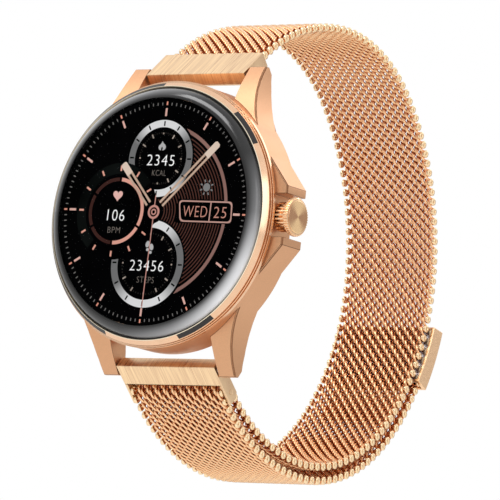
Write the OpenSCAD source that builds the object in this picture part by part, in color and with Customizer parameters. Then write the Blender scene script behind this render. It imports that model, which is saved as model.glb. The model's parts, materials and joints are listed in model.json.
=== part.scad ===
// Round smartwatch on a fine-mesh loop strap with a magnetic clasp.
// Frame: X towards the crown (3 o'clock), Y from the glass towards the wrist,
// Z towards 12 o'clock. The origin is the middle of the flat rear sensor window.
// Heights named *_h are measured from that window towards the glass (along -Y).

/* [Case] */
// Radius of the round case barrel
case_r = 22.4; // [18:0.1:28]
// Wall of the barrel
case_wall = 2.6; // [2.2:0.1:3.4]
// Height of the barrel's top face, where the bezel sits
barrel_top_h = 7.9; // [7.4:0.1:10]
// Height of the barrel's rear face
barrel_rear_h = 1.6; // [1.4:0.1:2]
// How far the front face of the lugs lies below the barrel's top
guard_drop = 0.3; // [0.2:0.05:0.8]
// Height of the front edge of the lug tips
tip_front_h = 1.8; // [1.6:0.1:2.6]
// Height of the rear edge of the lug tips
lug_rear_h = 0.15; // [0.1:0.05:0.4]
// How far the lug tips reach beyond the barrel
lug_reach = 3.6; // [3.4:0.1:6]
// Width of a lug at its tip
lug_w = 3.2; // [2.4:0.1:5]
// Radius of the hollow curve down each lug's side
lug_side_r = 28; // [24:0.5:34]
// Slope of the case side where it leaves the hollow curve towards the crown guards
guard_slope = 37.4; // [32:0.2:42]
// How far the crown guards reach beyond the barrel
guard_reach = 1.85; // [1.4:0.05:4]
// Half-height of the crown guard's end facet, above the notch
guard_facet = 1.3; // [0.8:0.1:2]
// Slope of the lug's front surface at its tip
lug_drop_angle = 38; // [34:1:42]
// Width of the fine step along the edge between front and side
edge_step = 0.16; // [0.1:0.01:0.3]
// Depth of that step
edge_step_h = 0.3; // [0.2:0.05:0.5]

/* [Bezel and glass] */
// Width of the bezel outside the glass rim, measured on the barrel
bezel_w = 1.45; // [1.35:0.05:2]
// Width of the curved rim of the glass
glass_rim_w = 2.05; // [1:0.05:4]
// Height of the glass front above the barrel's top
glass_rise = 3.4; // [3.2:0.05:4.2]
// Height of the glass rim's upper edge above the barrel's top
rim_rise = 1.7; // [1.6:0.05:1.9]
// Thickness of the glass
glass_t = 0.7; // [0.5:0.05:1]
// Thickness of the gasket between glass and bezel
gasket_t = 0.17; // [0.1:0.01:0.3]
// Height of the bezel's inner crest above the barrel's top
crest_rise = 2; // [1.9:0.05:2.3]
// Width of the polished chamfer inside the crest
crest_w = 0.2; // [0.1:0.02:0.4]
// Width of the bezel's sloping flat ring
flat_w = 0.75; // [0.5:0.05:1.2]
// Fall of the sloping flat ring from its crest to its outer edge
flat_drop = 0.8; // [0.4:0.05:1]
// Width of each of the two small steps outside the flat ring
step_w = 0.2; // [0.1:0.02:0.4]
// Depth of the groove under each step
groove_d = 0.12; // [0.05:0.01:0.2]
// Depth of the dark inlays in the flat ring
inlay_d = 0.25; // [0.1:0.05:0.4]

/* [Rear] */
// Radius of the sensor window
window_r = 9.4; // [8:0.1:10.4]
// Distance between the two charging pads
pad_pitch = 3.8; // [3:0.1:5]
// Radius of a charging pad
pad_r = 0.9; // [0.6:0.05:1.1]
// Radius of a rear screw's thread
screw_r = 0.7; // [0.5:0.05:0.8]

/* [Works] */
// Width of the battery
battery_w = 21; // [16:0.5:22]
// Length of the battery
battery_l = 17; // [12:0.5:18]
// Radius of the vibration motor
motor_r = 3.2; // [2.4:0.1:3.4]
// Length of the speaker along the case wall
speaker_l = 8; // [6:0.5:9]
// Depth of the speaker
speaker_w = 4.6; // [3:0.1:5]

/* [Crown] */
// How far the crown's axis lies below the barrel's top
crown_drop = 2.5; // [2.5:0.05:3]
// Radius of the crown's fluted body
crown_body_r = 2.45; // [2:0.05:2.5]
// Radius of the crown's toothed flange
crown_flange_r = 3.2; // [2.8:0.05:3.3]
// Half-height of the notch in the case for the crown
notch_z = 3.6; // [3.5:0.05:4.2]
// How deep the notch goes into the barrel
notch_d = 0.9; // [0.8:0.05:1.2]
// Length of the crown outside the notch floor
crown_len = 3.95; // [3.4:0.05:4.4]
// Length of the toothed flange
flange_len = 0.95; // [0.6:0.05:1.4]
// Number of flutes round the body
flutes = 22; // [16:1:30]
// Number of teeth round the flange
teeth = 44; // [30:1:60]
// Radius of the crown's stem
stem_r = 0.75; // [0.6:0.05:0.9]
// How far the crown presses in
crown_travel = 0.4; // [0.2:0.05:0.45]

/* [Strap] */
// Width of the end links and clasp ring, the strap size
strap_w = 20; // [16:0.5:24]
// How much narrower the mesh is than the strap size
mesh_margin = 1.1; // [0.6:0.1:2]
// Thickness of the mesh
mesh_t = 1.46; // [1.2:0.02:1.8]
// Gap between the inner and the outer mesh layer
layer_gap = 0.92; // [0.8:0.02:1.4]
// Height of the spring bar axes
bar_h = 1.3; // [1.2:0.05:1.5]
// How far the spring bar axes lie beyond the barrel
bar_reach = 2.35; // [2.2:0.05:4]
// Tilt of the end link and clasp ring away from the wrist direction
link_tilt = 42; // [34:1:51]
// Length of the upper end link
link_len = 6.65; // [5.5:0.05:8]
// Thickness of the end link and the clasp ring
link_t = 2.7; // [2.5:0.05:3.2]
// Length of the clasp ring's front block
block_len = 3.9; // [3.6:0.05:4.2]
// Length of the clasp ring's side plates
ring_len = 8.05; // [7.6:0.05:10]
// Thickness of the clasp ring's side plates
plate_t = 0.48; // [0.3:0.02:0.5]
// Radius of the cross bar that the mesh folds round
fold_bar_r = 0.4; // [0.3:0.02:0.45]
// Radius of the loop's upper shoulder
loop_r2 = 29.2; // [24:0.2:36]
// Radius of the loop's upper back
loop_r3 = 42; // [36:0.2:51]
// Radius of the loop's lower back
loop_r4 = 38.8; // [34:0.2:44]
// Radius of the loop's lower shoulder
loop_r5 = 31.2; // [27:0.2:36]
// How far the flap of mesh folds outwards, in degrees
flap_open = 55; // [30:1:60]

/* [Clasp] */
// Length of the clasp round the loop
clasp_len = 11; // [9:0.1:14]
// How far the clasp stands out beyond the outer mesh layer
clasp_cover = 0.64; // [0.6:0.02:1]
// How much wider the clasp is than the strap size
clasp_margin = 0.4; // [0:0.1:2]
// Angle below the loop's back at which the clasp starts
clasp_from = 11; // [9:0.5:16]
// Wall of the clasp's shell
clasp_wall = 0.5; // [0.4:0.05:0.6]

/* [Spring bars] */
// Outer radius of a spring bar's tube
tube_r = 0.65; // [0.6:0.05:0.7]
// Wall of the tube
tube_wall = 0.2; // [0.15:0.01:0.22]
// Radius of the tip's pin that enters the lug
pin_r = 0.4; // [0.3:0.02:0.42]
// Depth of the hole in the lug
pin_hole_l = 1.35; // [1.2:0.05:1.6]
// How far a tip is pushed in to take the strap off
tip_travel = 1.1; // [0.9:0.05:1.15]

/* [Hidden] */
$fn = 96;

// Fits and small clearances
running = 0.05;        // radial clearance of a shaft that turns or slides
seat = 0.05;           // gap between a fixed piece and its pocket
lug_gap = 0.3;         // gap between the link's side and the lug
open_pivot = 0.25;     // radial clearance of the clasp ring's eye on its bar
flex_gap = 0.3;        // gap in the mesh at each flexing line
small = 0.01;
big = 100;

gold = "#d9a27c";
bright = "#f0c9a0";
dark = "#221f1e";
steel = "#b9bcc0";

// ---- helpers -------------------------------------------------------------------------------

// local Z becomes the height towards the glass, local Y becomes Z
module on_dial(h = 0) translate([0, -h, 0]) rotate([90, 0, 0]) children();
// local Z becomes X
module along_x(x = 0, h = 0, z = 0) translate([x, -h, z]) rotate([90, 0, 90]) children();
// a side view drawn as [depth, z], spread over a width along X
module side_slab(w) rotate([90, 0, 90]) translate([0, 0, -w / 2]) linear_extrude(w) children();
module ring(r1, r0, l) difference() {
    cylinder(r = r1, h = l);
    translate([0, 0, -1]) cylinder(r = r0, h = l + 2);
}
module both_x() { children(); mirror([1, 0, 0]) children(); }
module both_z() { children(); mirror([0, 0, 1]) children(); }
function dir(a) = [cos(a), sin(a)];

// ---- case outline, front view [x, z] and side view [depth, z] -----------------------------

cavity_r = case_r - case_wall;
guard_front_h = barrel_top_h - guard_drop;
guard_rear_h = barrel_rear_h + 0.5;
lug_tip_z = case_r + lug_reach;
lug_tip_x = strap_w / 2 + lug_gap + lug_w;
guard_x = case_r + guard_reach;
notch_x = case_r - notch_d;
crown_h = barrel_top_h - crown_drop;
shelf_h = barrel_top_h - 0.6;
board_h = shelf_h - 1.2;
display_r = cavity_r - 0.7;
side_top_z = notch_z + guard_facet;
// the straight guard side runs up to the start of the lug's hollow curve
tip_slope = 4;
curve_x = lug_tip_x + lug_side_r * (cos(tip_slope) - cos(guard_slope));
curve_steps = 7;
function side_curve(inset) = [for (i = [0 : curve_steps])
    let (a = tip_slope + (guard_slope - tip_slope) * i / curve_steps)
    [lug_tip_x - inset + lug_side_r * (cos(tip_slope) - cos(a)),
     lug_tip_z - lug_side_r * (sin(a) - sin(tip_slope))]];
function quarter(inset, guard) = concat([[0, lug_tip_z]], side_curve(inset),
    guard ? [[guard_x - inset, side_top_z], [guard_x - inset, notch_z]] : [],
    [[guard ? guard_x - inset : curve_x - inset, 0], [0, 0]]);

module front_outline(inset) {
    for (m = [0, 1]) mirror([0, m]) {
        polygon(quarter(inset, true));
        mirror([1, 0]) polygon(quarter(inset, false));
    }
}
// the lug's front surface bends down on one arc that ends at the tip's front edge
lug_drop_r = (guard_front_h - tip_front_h) / (1 - cos(lug_drop_angle));
drop_start_z = lug_tip_z - lug_drop_r * sin(lug_drop_angle);
drop_steps = 10;
rear_bend_z = lug_tip_z - 14;
function drop_top(lower) = [for (i = [0 : drop_steps])
    let (a = lug_drop_angle * i / drop_steps)
    [-(guard_front_h - lower - lug_drop_r * (1 - cos(a))), drop_start_z + lug_drop_r * sin(a)]];
tip_round = 0.7;
module side_outline(lower) for (m = [0, 1]) mirror([0, m])
    polygon(concat([[-(guard_front_h - lower), 0]], drop_top(lower),
        [[-lug_rear_h - tip_round, lug_tip_z], [-lug_rear_h, lug_tip_z - 1.6 * tip_round],
         [-lug_rear_h - 0.25, lug_tip_z - 4], [-guard_rear_h, rear_bend_z], [-guard_rear_h, 0]]));

// the lug slot leaves the strap room between the lugs
slot_w = strap_w + 2 * lug_gap;
bar_z = case_r + bar_reach;

module lug_body() {
    intersection() {
        side_slab(3 * guard_x) side_outline(edge_step_h);
        on_dial(-1) linear_extrude(barrel_top_h + 2) front_outline(0);
    }
    intersection() {
        side_slab(3 * guard_x) side_outline(0);
        on_dial(-1) linear_extrude(barrel_top_h + 2) front_outline(edge_step);
    }
}

module lug_slots() both_z() difference() {
    translate([-slot_w / 2, -barrel_top_h - 1, 0]) cube([slot_w, barrel_top_h + 2, 2 * lug_tip_z]);
    on_dial(-2) cylinder(r = case_r, h = barrel_top_h + 6);
}

// ---- case ----------------------------------------------------------------------------------

crown_tube_wall = 0.6;
crown_bore_r = stem_r + running + crown_tube_wall;
shelf_r = cavity_r - 1.1;
module mid_case() color(gold) {
    difference() {
        union() {
            on_dial(barrel_rear_h) cylinder(r = case_r, h = barrel_top_h - barrel_rear_h);
            lug_body();
        }
        lug_slots();
        // room for the works from the rear, a shelf for the chassis, and room for the display
        on_dial(-1) cylinder(r = cavity_r, h = shelf_h + 1 - shelf_t);
        on_dial(shelf_h - shelf_t - 1) cylinder(r = shelf_r, h = barrel_top_h);
        on_dial(shelf_h) cylinder(r = cavity_r, h = barrel_top_h);
        // seat of the rear cover, and a flush rear edge between the lugs
        on_dial(-1) cylinder(r = cover_r + seat, h = barrel_rear_h + 1);
        translate([-slot_w / 2, -barrel_rear_h, -lug_tip_z])
            cube([slot_w, barrel_rear_h + 1, 2 * lug_tip_z]);
        // crown notch, open to the front and the rear
        translate([notch_x, -barrel_top_h - 1, -notch_z])
            cube([guard_x, barrel_top_h + 2, 2 * notch_z]);
        along_x(cavity_r - 2, crown_h) cylinder(r = crown_bore_r, h = case_wall + 3);
        both_x() both_z() along_x(slot_w / 2 - 1, bar_h, bar_z)
            cylinder(r = pin_r + running, h = pin_hole_l + 1);
        // speaker slots in the 9 o'clock side
        for (z = [-speaker_pitch, 0, speaker_pitch]) along_x(-case_r - 1, speaker_h, z + speaker_z)
            cylinder(r = speaker_hole_r, h = case_r - cavity_r + 2);
    }
    // bosses for the rear cover's screws
    for (a = screw_angles) on_dial(boss_h) rotate(a) difference() {
        union() {
            translate([screw_pcd_r, 0, 0]) cylinder(r = boss_r, h = boss_top_h - boss_h);
            translate([screw_pcd_r, -boss_r, 0])
                cube([cavity_r + 0.5 - screw_pcd_r, 2 * boss_r, boss_top_h - boss_h]);
        }
        translate([screw_pcd_r, 0, -1]) cylinder(r = screw_r + small, h = screw_top_h - boss_h + 1.1);
    }
}
shelf_t = 0.6;
boss_r = 1.6;
boss_h = 2.55;
boss_top_h = board_h - 1.1;
screw_top_h = boss_top_h - 0.4;

glass_r = case_r - bezel_w;
glass_flat_r = glass_r - glass_rim_w;
glass_top_h = barrel_top_h + glass_rise;
glass_rim_h = barrel_top_h + rim_rise;
crest_h = barrel_top_h + crest_rise;
bezel_r0 = glass_r + gasket_t;
crest_r = bezel_r0 + crest_w;
flat_r = crest_r + flat_w;
flat_h = crest_h - flat_drop;
step1_r = flat_r + step_w;
step2_r = step1_r + step_w;
step1_h = flat_h - 0.35;
step2_h = step1_h - 0.35;
module bezel_ring() color(bright) difference() {
    on_dial() rotate_extrude($fn = 128) polygon([
        [bezel_r0, glass_seat_h], [bezel_r0, glass_rim_h - 0.1], [crest_r - 0.03, crest_h],
        [crest_r + 0.03, crest_h], [flat_r, flat_h], [flat_r, step1_h + groove_d],
        [flat_r - groove_d, step1_h + groove_d], [flat_r - groove_d, step1_h], [step1_r, step1_h],
        [step1_r, step2_h + groove_d], [step1_r - groove_d, step2_h + groove_d],
        [step1_r - groove_d, step2_h], [step2_r, step2_h], [step2_r, barrel_top_h],
        [cavity_r - seat - bezel_lip, barrel_top_h], [cavity_r - seat - bezel_lip, glass_seat_h]]);
    for (a = inlay_spans) on_dial() inlay_shape(a, inlay_d, 0.3);
}
bezel_lip = 0.6;
glass_seat_h = barrel_top_h + 0.9;

// start and end of each dark inlay, in degrees from 3 o'clock
inlay_spans = [[32, 50.5], [93, 248], [288, 307.5]];
inlay_margin = 0.07;
module inlay_shape(span, below, above) {
    r0 = crest_r + inlay_margin;
    r1 = flat_r - inlay_margin;
    fall = flat_drop / flat_w;
    rotate([0, 0, span[0]]) rotate_extrude(angle = span[1] - span[0], $fn = 128) polygon([
        [r0, crest_h - fall * inlay_margin - below], [r1, flat_h + fall * inlay_margin - below],
        [r1, flat_h + fall * inlay_margin + above], [r0, crest_h - fall * inlay_margin + above]]);
}
module bezel_inlays() color(dark) on_dial() for (a = inlay_spans) inlay_shape(a, inlay_d, -0.03);

// ---- glass and display ---------------------------------------------------------------------

rim_steps = 8;
glass_rim = [for (i = [0 : rim_steps]) let (a = 90 * i / rim_steps)
    [glass_flat_r + (glass_r - glass_flat_r) * sin(a),
     glass_rim_h + (glass_top_h - glass_rim_h) * cos(a)]];
display_top_h = glass_top_h - glass_t;
module cover_glass() color(dark) on_dial() rotate_extrude($fn = 128) polygon(concat(
    [[0, display_top_h], [0, glass_top_h]], glass_rim,
    [[glass_r, glass_seat_h], [display_r + glass_skirt_gap, glass_seat_h],
     [display_r + glass_skirt_gap, display_top_h]]));
glass_skirt_gap = 0.1;

module glass_gasket() color("black") on_dial(glass_seat_h)
    ring(bezel_r0 - small, glass_r + small, glass_rim_h - glass_seat_h - 0.1);

display_t = 0.8;
module display_panel() color("#101014") {
    on_dial(display_top_h - display_t) cylinder(r = display_r, h = display_t);
    // folded tail to the board
    translate([-3, -display_top_h + display_t, -display_r + 1])
        cube([6, display_top_h - display_t - chassis_h - chassis_t, 0.4]);
}

// ---- works ---------------------------------------------------------------------------------

works_r = shelf_r - 0.2;
chassis_h = shelf_h + small;
chassis_t = 0.9;
module inner_chassis() color("#8f9297") on_dial(chassis_h) difference() {
    cylinder(r = cavity_r - seat - bezel_lip - 0.1, h = chassis_t);
    for (a = [45 : 90 : 315]) rotate(a) translate([12, 0, -1]) cylinder(r = 2.6, h = 3);
    translate([-4, 1.1 - display_r, -1]) cube([8, 5, 3]);
}
board_t = 0.8;
module main_board() color("#1f6b45") {
    on_dial(board_h) difference() {
        cylinder(r = works_r, h = board_t);
        translate([crown_inner_x - 1.5, -5, -1]) cube([big, 10, 3]);
    }
    // processor, radio shield and memory under the board
    for (c = chips) translate([c[0], -board_h - small, c[1]]) cube([c[2], 1 + small, c[3]]);
}
chips = [[-12.5, 8.5, 6, 5.5], [-3.5, 11.5, 8, 4.5], [6.5, 9, 4.5, 4.5]];
battery_h = 3.3;
battery_z = 7;
battery_t = board_h - battery_h - 0.2;
module battery() color("#4d5560") {
    translate([-battery_w / 2, -battery_h - battery_t, battery_z - battery_l])
        cube([battery_w, battery_t, battery_l]);
    // folded tab with the protection circuit
    translate([-battery_w / 3, -battery_h - battery_t * 0.75, battery_z])
        cube([battery_w * 2 / 3, battery_t / 2, 1]);
}
motor_x = 3;
motor_z = motor_r + 2.1 - cavity_r;
motor_t = board_h - battery_h - 0.6;
module vibration_motor() color(steel) {
    on_dial(battery_h) translate([motor_x, motor_z, 0]) cylinder(r = motor_r, h = motor_t);
    on_dial(battery_h + motor_t) translate([motor_x, motor_z, 0]) cylinder(r = 1, h = 0.3);
}
speaker_h = (battery_h + board_h) / 2 + 0.2;
speaker_z = 3;
speaker_t = board_h - battery_h - 0.6;
speaker_pitch = 2.2;
speaker_hole_r = 0.45;
module speaker() color("#2a2a2c") difference() {
    translate([-cavity_r + 1.4, -speaker_h - speaker_t / 2, speaker_z - speaker_l / 2])
        cube([speaker_w, speaker_t, speaker_l]);
    translate([-cavity_r, -speaker_h - speaker_t / 3, speaker_z - speaker_l * 3 / 8])
        cube([2.2, speaker_t * 2 / 3, speaker_l * 3 / 4]);
}

// ---- rear ----------------------------------------------------------------------------------

cover_r = case_r - 1.8;
cover_front_h = barrel_rear_h;
plug_r = cavity_r - 0.1;
screw_head_r = 1.15;
screw_pcd_r = cavity_r - 2.3;
screw_angles = [45 : 90 : 315];
pad_x = [-pad_pitch / 2, pad_pitch / 2];
pad_z = -window_r - 4.2;
magnet_x = pad_pitch / 2 + pad_r + 3.4;
magnet_r = 1.6;
module rear_cover() color("#b98560") difference() {
    on_dial() rotate_extrude() polygon([[0, 0.3], [cover_r - 1.4, 0.3], [cover_r, 1.1],
        [cover_r, cover_front_h - small], [plug_r - seal_t, cover_front_h - small],
        [plug_r - seal_t, cover_front_h + 0.9], [plug_r - 1.8, cover_front_h + 0.9],
        [plug_r - 1.8, cover_front_h], [0, cover_front_h]]);
    on_dial(-1) cylinder(r = window_r + seat, h = 4);
    for (a = screw_angles) on_dial(-1) rotate(a) translate([screw_pcd_r, 0, 0]) {
        cylinder(r = screw_r + 0.1, h = 5);
        cylinder(r = screw_head_r + 0.1, h = 1.8);
    }
    for (x = pad_x) on_dial(-1) translate([x, pad_z, 0]) cylinder(r = pad_r + small, h = 4);
    for (x = [-magnet_x, magnet_x]) on_dial(0.7) translate([x, pad_z, 0])
        cylinder(r = magnet_r + small, h = 4);
}
seal_t = 0.7;
module rear_seal() color("black") on_dial(cover_front_h + small)
    ring(plug_r + 0.08, plug_r - seal_t + small, 0.7);

module rear_screws() color(steel) for (a = screw_angles)
    on_dial() rotate(a) translate([screw_pcd_r, 0, 0]) difference() {
        union() {
            translate([0, 0, 0.35]) cylinder(r = screw_head_r, h = 0.45);
            translate([0, 0, 0.35]) cylinder(r = screw_r, h = screw_top_h - 0.35);
        }
        translate([0, 0, 0.2]) cylinder(r = 0.5, h = 0.4, $fn = 6);
    }

window_t = 0.9;
module sensor_window() color("#141416") on_dial() rotate_extrude() polygon([[0, 0],
    [window_r - 1.2, 0], [window_r - small, 0.3], [window_r - small, window_t], [0, window_t]]);
module sensor_board() color("#2b3a58") {
    on_dial(window_t + 0.5) cylinder(r = window_r - 1, h = 0.5);
    // light sources round a split detector, facing the wrist
    for (a = [0 : 90 : 270]) on_dial(window_t + 0.05) rotate(a) translate([4.4, -0.7, 0])
        cube([1.4, 1.4, 0.5]);
    for (a = [45 : 90 : 315]) on_dial(window_t + 0.05) rotate(a) translate([4, -0.9, 0])
        cube([1.8, 1.8, 0.5]);
}
module charging_contacts() color(bright) for (x = pad_x)
    on_dial(0.22) translate([x, pad_z, 0]) cylinder(r = pad_r, h = 2.2);
module charging_magnets() color(steel) for (x = [-magnet_x, magnet_x])
    on_dial(0.72) translate([x, pad_z, 0]) cylinder(r = magnet_r, h = 1.3);

// ---- crown ---------------------------------------------------------------------------------

crown_rest_gap = crown_travel + 0.15;
crown_x0 = notch_x + crown_rest_gap;
crown_x1 = notch_x + crown_len;
crown_inner_x = notch_x - 6.3;
crown_tube_x = notch_x - 3.1;
collar_x = notch_x - 5;
collar_t = 0.9;
module crown_tube() color("#c9a15a") along_x(crown_tube_x, crown_h)
    ring(crown_bore_r, stem_r + running, notch_x - crown_tube_x);
module crown_stem() color(steel) along_x(collar_x - 0.3, crown_h) difference() {
    union() {
        cylinder(r = stem_r, h = crown_x1 - 0.2 - collar_x);
        // shoulders hold the collar without gripping it
        translate([0, 0, -0.4]) cylinder(r = 1.2, h = 0.6);
        translate([0, 0, 0.3 + collar_t + 0.1]) cylinder(r = 1.2, h = 0.4);
    }
    translate([0, 0, seal_x - collar_x + 0.3]) ring(stem_r + 1, stem_r - seal_groove, seal_w);
}
seal_x = notch_x - 1.9;
seal_w = 0.6;
seal_groove = 0.3;
module crown_seal() color("black") along_x(seal_x + small, crown_h)
    ring(stem_r + running - 0.02, stem_r - seal_groove + small, seal_w - 2 * small);

function tooth_points(n, r, depth) = [for (i = [0 : n - 1]) each
    let (a = 360 / n)
    [r * dir(a * (i - 0.28)), r * dir(a * (i + 0.28)),
     (r - depth) * dir(a * (i + 0.4)), (r - depth) * dir(a * (i + 0.6))]];
flute_depth = 0.28;
tooth_depth = 0.22;
stem_seat_r = stem_r + 0.005;
module crown_knob() color(gold) along_x(0, crown_h) difference() {
    union() {
        translate([0, 0, crown_x0]) linear_extrude(crown_x1 - flange_len - crown_x0)
            polygon(tooth_points(flutes, crown_body_r, flute_depth));
        translate([0, 0, crown_x1 - flange_len]) linear_extrude(flange_len - 0.3)
            polygon(tooth_points(teeth, crown_flange_r, tooth_depth));
        translate([0, 0, crown_x1 - 0.32])
            cylinder(r1 = crown_flange_r - tooth_depth, r2 = crown_flange_r - 0.35, h = 0.2);
    }
    translate([0, 0, crown_x0 - 1]) cylinder(r = stem_seat_r, h = crown_x1 + 0.55 - crown_x0);
    translate([0, 0, crown_x1 - 0.35]) cylinder(r = cap_r + small, h = 1);
}
cap_r = crown_flange_r - 0.5;
module crown_cap() color(bright) along_x(crown_x1 - 0.35 + small, crown_h) union() {
    cylinder(r = cap_r, h = 0.27);
    translate([0, 0, 0.27]) cylinder(r1 = cap_r, r2 = cap_r - 0.1, h = 0.07);
}
collar_half = 1.7;
module crown_collar() color("#7d8086") difference() {
    translate([collar_x, -crown_h - collar_half, -collar_half])
        cube([collar_t, 2 * collar_half, 2 * collar_half]);
    along_x(collar_x - 1, crown_h) cylinder(r = stem_r + running, h = 3);
}
guide_t = 0.6;
guide_gap = 0.1;
module crown_guide() color(steel) {
    half = collar_half + guide_gap;
    for (s = [-1, 1]) translate([crown_inner_x, -crown_h - half + 1.2, s > 0 ? half : -half - guide_t])
        cube([crown_tube_x - crown_inner_x - small, 2 * half - 1.2 + guide_t, guide_t]);
    translate([crown_inner_x, -crown_h + half, -half - guide_t])
        cube([crown_tube_x - crown_inner_x - small, guide_t, 2 * half + 2 * guide_t]);
}
switch_gap = crown_travel + 0.1;
module crown_switch() color("#202226") {
    switch_x1 = collar_x - 0.7 - switch_gap;
    translate([switch_x1 - 1.6, -crown_h - 1.5, -1.5]) cube([1.2, 3, 3]);
    along_x(switch_x1 - 0.41, crown_h) cylinder(r = 1, h = 0.41);
}

// ---- spring bars ---------------------------------------------------------------------------

flange_t = 0.35;
tube_half = strap_w / 2 - 0.3 - flange_t - tip_travel;
flange_r = tube_r - 0.02;
shank_r = tube_r - tube_wall - running;
shank_l = 2.2;
pin_l = lug_gap + 1.0;
bar_zs = [-bar_z, bar_z];
module spring_bar_tubes() color(steel) for (z = bar_zs)
    along_x(-tube_half, bar_h, z) ring(tube_r, tube_r - tube_wall, 2 * tube_half);
coil_half = tube_half - shank_l + flange_t + tip_travel - tip_travel * 2 - 0.1;
coil_t = 0.12;
coil_turns = 14;
// turns of the spring, drawn as rings joined by a thin bar
module spring_bar_springs() color("#8a8d92") for (z = bar_zs) {
    r = tube_r - tube_wall - 0.03;
    for (i = [0 : coil_turns - 1])
        along_x(-coil_half + i * (2 * coil_half - coil_t) / (coil_turns - 1), bar_h, z)
            ring(r, r - coil_t, coil_t, $fn = 24);
    translate([-coil_half, -bar_h - r + small, z - coil_t / 2]) cube([2 * coil_half, coil_t, coil_t]);
}
module tip(side, z) mirror([side < 0 ? 1 : 0, 0, 0]) {
    flange_x = strap_w / 2 - 0.25 - flange_t;
    along_x(flange_x - shank_l, bar_h, z) cylinder(r = shank_r, h = shank_l + small);
    along_x(flange_x, bar_h, z) cylinder(r = flange_r, h = flange_t);
    along_x(flange_x + flange_t - small, bar_h, z) cylinder(r = pin_r, h = 0.25 + pin_l);
}
module tip_top_left() color(steel) tip(-1, bar_z);
module tip_top_right() color(steel) tip(1, bar_z);
module tip_bottom_left() color(steel) tip(-1, -bar_z);
module tip_bottom_right() color(steel) tip(1, -bar_z);

// ---- end link and clasp ring, drawn in [depth, z] for the upper side ----------------------

// the link's own axes: u runs out along its front face, v runs towards the wrist
link_u = dir(link_tilt);
link_v = [sin(link_tilt), -cos(link_tilt)];
eye_u = 1.4;
eye_v = link_t / 2 - 0.1;
link_corner = [-bar_h, bar_z] - eye_u * link_u - eye_v * link_v;
function at(u, v) = link_corner + u * link_u + v * link_v;
nose = 0.45;
mesh_w = strap_w - mesh_margin;
pocket_w = mesh_w + 0.1;
pocket_t = mesh_t + 0.08;
pocket_l = 1.6;
module top_end_link() color(bright) difference() {
    side_slab(strap_w) polygon([at(0, 0), at(link_len, 0), at(link_len, link_t),
        at(nose, link_t), at(0, link_t - nose)]);
    along_x(-strap_w, bar_h, bar_z) cylinder(r = tube_r + running, h = 2 * strap_w);
    side_slab(pocket_w) polygon([at(link_len - pocket_l, mesh_v - pocket_t / 2),
        at(link_len + 1, mesh_v - pocket_t / 2), at(link_len + 1, mesh_v + pocket_t / 2),
        at(link_len - pocket_l, mesh_v + pocket_t / 2)]);
}
mesh_v = link_t / 2;
bar_u = ring_len - 1.75;
bar_v = link_t / 2;
module clasp_ring() color(bright) mirror([0, 0, 1]) difference() {
    union() {
        side_slab(strap_w) polygon([at(0, 0), at(block_len, 0), at(block_len, link_t - 0.3),
            at(block_len - 0.3, link_t), at(nose, link_t), at(0, link_t - nose)]);
        both_x() translate([strap_w / 2 - plate_t / 2, 0, 0]) side_slab(plate_t)
            polygon([at(block_len - 1, 0), at(ring_len, 0), at(ring_len, link_t - 0.8),
                at(ring_len - 0.7, link_t), at(block_len - 1, link_t)]);
    }
    along_x(-strap_w, bar_h, bar_z) cylinder(r = tube_r + open_pivot, h = 2 * strap_w);
    bar_bore(fold_bar_r);
}
bar_at = at(bar_u, bar_v);
module bar_bore(r) along_x(-strap_w, -bar_at[0], bar_at[1]) cylinder(r = r, h = 2 * strap_w);
module ring_cross_bar() color(steel) mirror([0, 0, 1]) intersection() {
    bar_bore(fold_bar_r);
    translate([-strap_w / 2, -big / 2, -big / 2]) cube([strap_w, big, big]);
}

// ---- loop of mesh: six arcs, each tangent to the next --------------------------------------

layer = mesh_t + layer_gap;
fold_r = layer / 2;
phi = [90 + link_tilt, 90, 45, 0, -45, -90, -90 - link_tilt];
loop_start = at(link_len, mesh_v);
run_in = 0.7;
run_out = 0.8;
bar_low = [bar_at[0], -bar_at[1]];
low_v = [link_v[0], -link_v[1]];
loop_end = bar_low + fold_r * low_v;
function chord(i) = dir(phi[i + 1]) - dir(phi[i]);
// the first and last radii close the loop between the two lugs
gap_vec = loop_end - loop_start - run_in * dir(link_tilt) - run_out * dir(180 - link_tilt)
    - loop_r2 * chord(1) - loop_r3 * chord(2) - loop_r4 * chord(3) - loop_r5 * chord(4);
det = chord(0)[0] * chord(5)[1] - chord(0)[1] * chord(5)[0];
loop_r1 = (gap_vec[0] * chord(5)[1] - gap_vec[1] * chord(5)[0]) / det;
loop_r6 = (chord(0)[0] * gap_vec[1] - chord(0)[1] * gap_vec[0]) / det;
radii = [loop_r1, loop_r2, loop_r3, loop_r4, loop_r5, loop_r6];
centre1 = loop_start + run_in * dir(link_tilt) - loop_r1 * dir(phi[0]);
function centre(i) = i == 0 ? centre1 : centre(i - 1) + (radii[i - 1] - radii[i]) * dir(phi[i]);

// points along arc number i, from one angle to another, out by off from the inner layer's middle
arc_step = 3;
function arc_points(i, a0, a1, off) = let (n = ceil(abs(a1 - a0) / arc_step))
    [for (k = [0 : n - 1]) centre(i) + (radii[i] + off) * dir(a0 + (a1 - a0) * k / n)];
function reversed(v) = [for (i = [len(v) - 1 : -1 : 0]) v[i]];
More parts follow.
